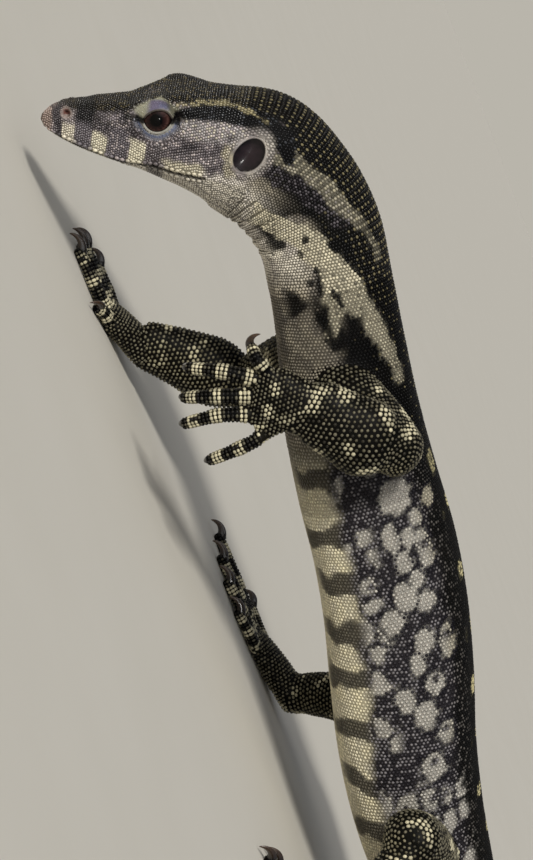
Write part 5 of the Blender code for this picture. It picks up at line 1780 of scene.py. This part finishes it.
def membrane():
    """Thin dark membrane, moist and a little see-through; its slightly paler middle is a painted highlight.
    """
    finish, tree = new_finish("eardrum_membrane")
    place = add_node(tree, "ShaderNodeTexCoord")
    reach = add_node(tree, "ShaderNodeAttribute", attribute_name="reach")
    # Cloudy patches about 1 mm across.
    cloudy = add_node(tree, "ShaderNodeTexNoise", [("Vector", place, "Object")], Scale=900.0, Detail=3.0)
    both = add_node(tree, "ShaderNodeMath", [(0, cloudy), (1, reach, "Fac")], operation="MULTIPLY_ADD")
    both.inputs[2].default_value = -0.1
    # Paler in the middle and darker towards the edge: the paler middle is a painted highlight.
    bands = add_node(tree, "ShaderNodeValToRGB", [("Fac", both)])
    set_stops(bands, (0.0, tone("#21171b")), (0.5, tone("#0c080a")))
    bump = add_node(tree, "ShaderNodeBump", [("Height", cloudy)], Strength=0.3, Distance=0.0001)
    shader = add_node(tree, "ShaderNodeBsdfPrincipled", [
        ("Base Color", bands), ("Normal", bump)],
        Roughness=0.34, IOR=1.42, Specular_IOR_Level=0.2, Coat_Weight=0.3, Coat_Roughness=0.1)
    add_node(tree, "ShaderNodeOutputMaterial", [("Surface", shader)])
    return finish


drum_finish = membrane()
for side, word in ((-1, "left"), (1, "right")):
    drum = eardrum(f"membrane_{word}", side)
    drum.data.materials.append(drum_finish)
    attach(drum, "root")
    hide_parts(f"eardrum_{word}")

# %% [markdown]
# ## Claws
# Each claw is a hook of dark horn, deeper than it is wide, that leaves the top of the digit's end and
# turns down. Its path is the one of the solid, with more rings and a ridge along its top.

# %% Claw hooks
CLAW_LENGTH, CLAW_ROOT, CLAW_WIDTH, CLAW_TIP = 5.2, 1.05, 0.68, 0.10
CLAW_SUNK, CLAW_TAPER, CLAW_LIFT = 1.1, 0.8, 0.75
CLAW_TURNS = {"planted": (32.0, -66.0), "thumb": (15.0, -100.0), "hanging": (-30.0, -120.0)}
CLAW_RINGS, CLAW_SIDES = 22, 14


def claw(name, foot, number):
    """A hook on the end of a digit, with the share of its length kept on it as its tip."""
    joints = np.array(digit_joints(foot, number))[:, :3]
    along, _, back = foot_frame(foot)
    up = np.array((0.0, 0.0, 1.0)) if foot["floor"] else back
    way = joints[-1] - joints[-2]
    turns = CLAW_TURNS["planted" if foot["floor"] else "thumb" if number == 0 else "hanging"]
    if foot["floor"]:
        way[2] = 0.0
    elif number == 0:
        up = along
    way = unit(way)
    up = unit(up - way * up.dot(way))
    point = joints[-1] + up * (CLAW_LIFT if foot["floor"] else 0.0)
    start, end = (math.radians(a) for a in turns)
    shares = np.linspace(0, 1, CLAW_RINGS)
    angles = start + (end - start) * shares
    steps = (way * np.cos(angles)[:, None] + up * np.sin(angles)[:, None]) * CLAW_LENGTH / (CLAW_RINGS - 1)
    line = point + np.concatenate([np.zeros((1, 3)), np.cumsum(steps, axis=0)[:-1]])
    line = np.concatenate([[point - way * CLAW_SUNK], line])
    depth = np.concatenate([[CLAW_ROOT * 0.8], CLAW_ROOT * (1 - shares) ** CLAW_TAPER + CLAW_TIP])
    tangent = unit(np.gradient(line, axis=0))
    across = unit(np.cross(way, up))
    upward = np.cross(across, tangent)
    turn = 2 * np.pi * np.arange(CLAW_SIDES) / CLAW_SIDES
    pinch = CLAW_WIDTH * (1 - 0.18 * np.maximum(np.sin(turn), 0) ** 2)
    rings = [line[k] + np.outer(np.cos(turn) * depth[k] * pinch, across)
             + np.outer(np.sin(turn) * depth[k], upward[k]) for k in range(len(line))]
    for ring in rings:
        ring[:, 2] = np.maximum(ring[:, 2], 0.0)
    points, faces = closed_loft(rings, (rings[0].mean(0), rings[-1].mean(0) + tangent[-1] * 0.08))
    piece = mesh_object(name, points, faces)
    face_out(piece)
    tip = np.concatenate([[0.0], np.repeat(np.linspace(0, 1, len(rings)), CLAW_SIDES), [1.0]])
    store(piece.data, "tip", "FLOAT", tip)
    piece.data.shade_smooth()
    piece.data.transform(TO_METRES)
    return piece


def claw_horn():
    """Claw horn, grown in layers: near black at the root, browner towards the point, and glossy."""
    finish, tree = new_finish("claw_horn")
    place = add_node(tree, "ShaderNodeTexCoord")
    tip = add_node(tree, "ShaderNodeAttribute", attribute_name="tip")
    # Growth streaks about 0.4 mm apart.
    streaks = add_node(tree, "ShaderNodeTexNoise", [("Vector", place, "Object")], Scale=2400.0, Detail=3.0)
    both = add_node(tree, "ShaderNodeMath", [(0, streaks), (1, tip, "Fac")], operation="MULTIPLY")
    bands = add_node(tree, "ShaderNodeValToRGB", [("Fac", both)])
    set_stops(bands, (0.05, tone("#171311")), (0.6, tone("#4a3727")))
    bump = add_node(tree, "ShaderNodeBump", [("Height", streaks)], Strength=0.2, Distance=0.00005)
    shader = add_node(tree, "ShaderNodeBsdfPrincipled", [
        ("Base Color", bands), ("Normal", bump)],
        Roughness=0.26, IOR=1.54, Coat_Weight=0.3, Coat_Roughness=0.1)
    add_node(tree, "ShaderNodeOutputMaterial", [("Surface", shader)])
    return finish


horn = claw_horn()
for leg_name, foot in FEET.items():
    for number, word in enumerate(DIGIT_NAMES):
        piece = claw(f"hook_{leg_name}_{word}", foot, number)
        piece.data.materials.append(horn)
        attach(piece, "root")
        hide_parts(f"{leg_name}_claw_{word}")
print("claws made")

# %% [markdown]
# ## Floor, sky, camera and light
# The floor is plain and pale, and the sky is as bright as it at the horizon and darker above and on
# the camera's side. The camera stands where the photograph was taken from, on its side, because
# there the lizard is held upright. Two suns shine from one side, a small one that draws soft shadows
# and a very broad one that fills them, and a weak one gives the eye its spark.

# %% Floor
FLOOR_REACH = 60.0
floor = mesh_object("floor", [(x * FLOOR_REACH, y * FLOOR_REACH, 0.0) for x, y in
                              ((-1, -1), (1, -1), (1, 1), (-1, 1))], [(0, 1, 2, 3)])
floor_finish, tree = new_finish("pale_matt_board")
# Painted board, rolled on matt: an even pale warm grey with very faint cloudiness about 40 mm across.
place = add_node(tree, "ShaderNodeTexCoord")
cloudy = add_node(tree, "ShaderNodeTexNoise", [("Vector", place, "Object")], Scale=25.0, Detail=3.0)
warmth = add_node(tree, "ShaderNodeValToRGB", [("Fac", cloudy)])
set_stops(warmth, (0.0, tone("#c3beb2")), (1.0, tone("#c8c3b8")))
shader = add_node(tree, "ShaderNodeBsdfPrincipled", [("Base Color", warmth)], Roughness=0.85)
add_node(tree, "ShaderNodeOutputMaterial", [("Surface", shader)])
floor.data.materials.append(floor_finish)

# %% An even sky
# Behind the lizard the sky is as bright as the floor at the horizon, so that no edge shows. It is
# darker above and on the camera's side, which keeps the black scales black.
HORIZON, ZENITH = tone("#b9b5ab"), tone("#7c8088")
world = bpy.data.worlds.new("even_sky")
bpy.context.scene.world = world
world.use_nodes = True
tree = world.node_tree
sky = tree.nodes["Background"]
way = add_node(tree, "ShaderNodeTexCoord")
height = add_node(tree, "ShaderNodeSeparateXYZ", [("Vector", way)])
climb = add_node(tree, "ShaderNodeMapRange", [("Value", height, "Z")], From_Min=0.2, From_Max=0.5)
front = add_node(tree, "ShaderNodeMapRange", [("Value", height, "Y")], From_Min=0.6, From_Max=-0.1)
either = add_node(tree, "ShaderNodeMath", [(0, climb), (1, front)], operation="MAXIMUM")
shades = add_node(tree, "ShaderNodeValToRGB", [("Fac", either)])
set_stops(shades, (0.0, HORIZON), (1.0, ZENITH))
tree.links.new(shades.outputs["Color"], sky.inputs["Color"])

# %% Camera
AZIMUTH, ELEVATION, ROLL = math.radians(-14.0), math.radians(6.0), math.radians(70.0)
AIM, DISTANCE, FRAME_HEIGHT, SENSOR = Vector((4.9, 0.0, 27.3)), 650.0, 184.9, 36.0
backward = Vector((math.sin(AZIMUTH) * math.cos(ELEVATION), -math.cos(AZIMUTH) * math.cos(ELEVATION),
                   math.sin(ELEVATION)))
level = Vector((math.cos(AZIMUTH), math.sin(AZIMUTH), 0.0))
steep = backward.cross(level)
right = level * math.cos(ROLL) + steep * math.sin(ROLL)
upright = steep * math.cos(ROLL) - level * math.sin(ROLL)
aim = (AIM + SHIFT) * MM
lens = bpy.data.cameras.new("camera")
lens.sensor_fit = "VERTICAL"
lens.sensor_height = SENSOR
lens.lens = SENSOR * DISTANCE / FRAME_HEIGHT
lens.clip_start, lens.clip_end = 0.05, 200.0
camera = new_object("camera", lens)
stand = Matrix((right, upright, backward)).transposed().to_4x4()
stand.translation = aim + backward * (DISTANCE * MM)
camera.matrix_world = stand
bpy.context.scene.camera = camera

# The picture is shown with no film curve, so the black scales stay as dark as the real ones.
bpy.context.scene.view_settings.view_transform = "Standard"


# %% Light
WARM_WHITE = (1.0, 0.98, 0.94)


def sun(name, toward, power, angle):
    """A sun that shines from a direction, seen from the lizard, and is as wide as an angle."""
    lamp = bpy.data.lights.new(name, "SUN")
    lamp.energy = power
    lamp.color = WARM_WHITE
    lamp.angle = angle
    new_object(name, lamp).rotation_euler = toward.to_track_quat("Z", "Y").to_euler()


from_front = backward * 0.85 - level * 0.35 + Vector((0.0, 0.0, 0.5))
sun("front_light", from_front, 2.75, 0.18)
sun("broad_light", from_front, 0.95, 1.3)

# A small light in the one direction that the left eye throws back to the camera gives the eye its spark.
spark = Vector(unit(-SIDE + 0.25 * CROWN + 0.06 * BACK))
sun("eye_light", 2 * spark.dot(backward) * spark - backward, 0.45, 0.1)
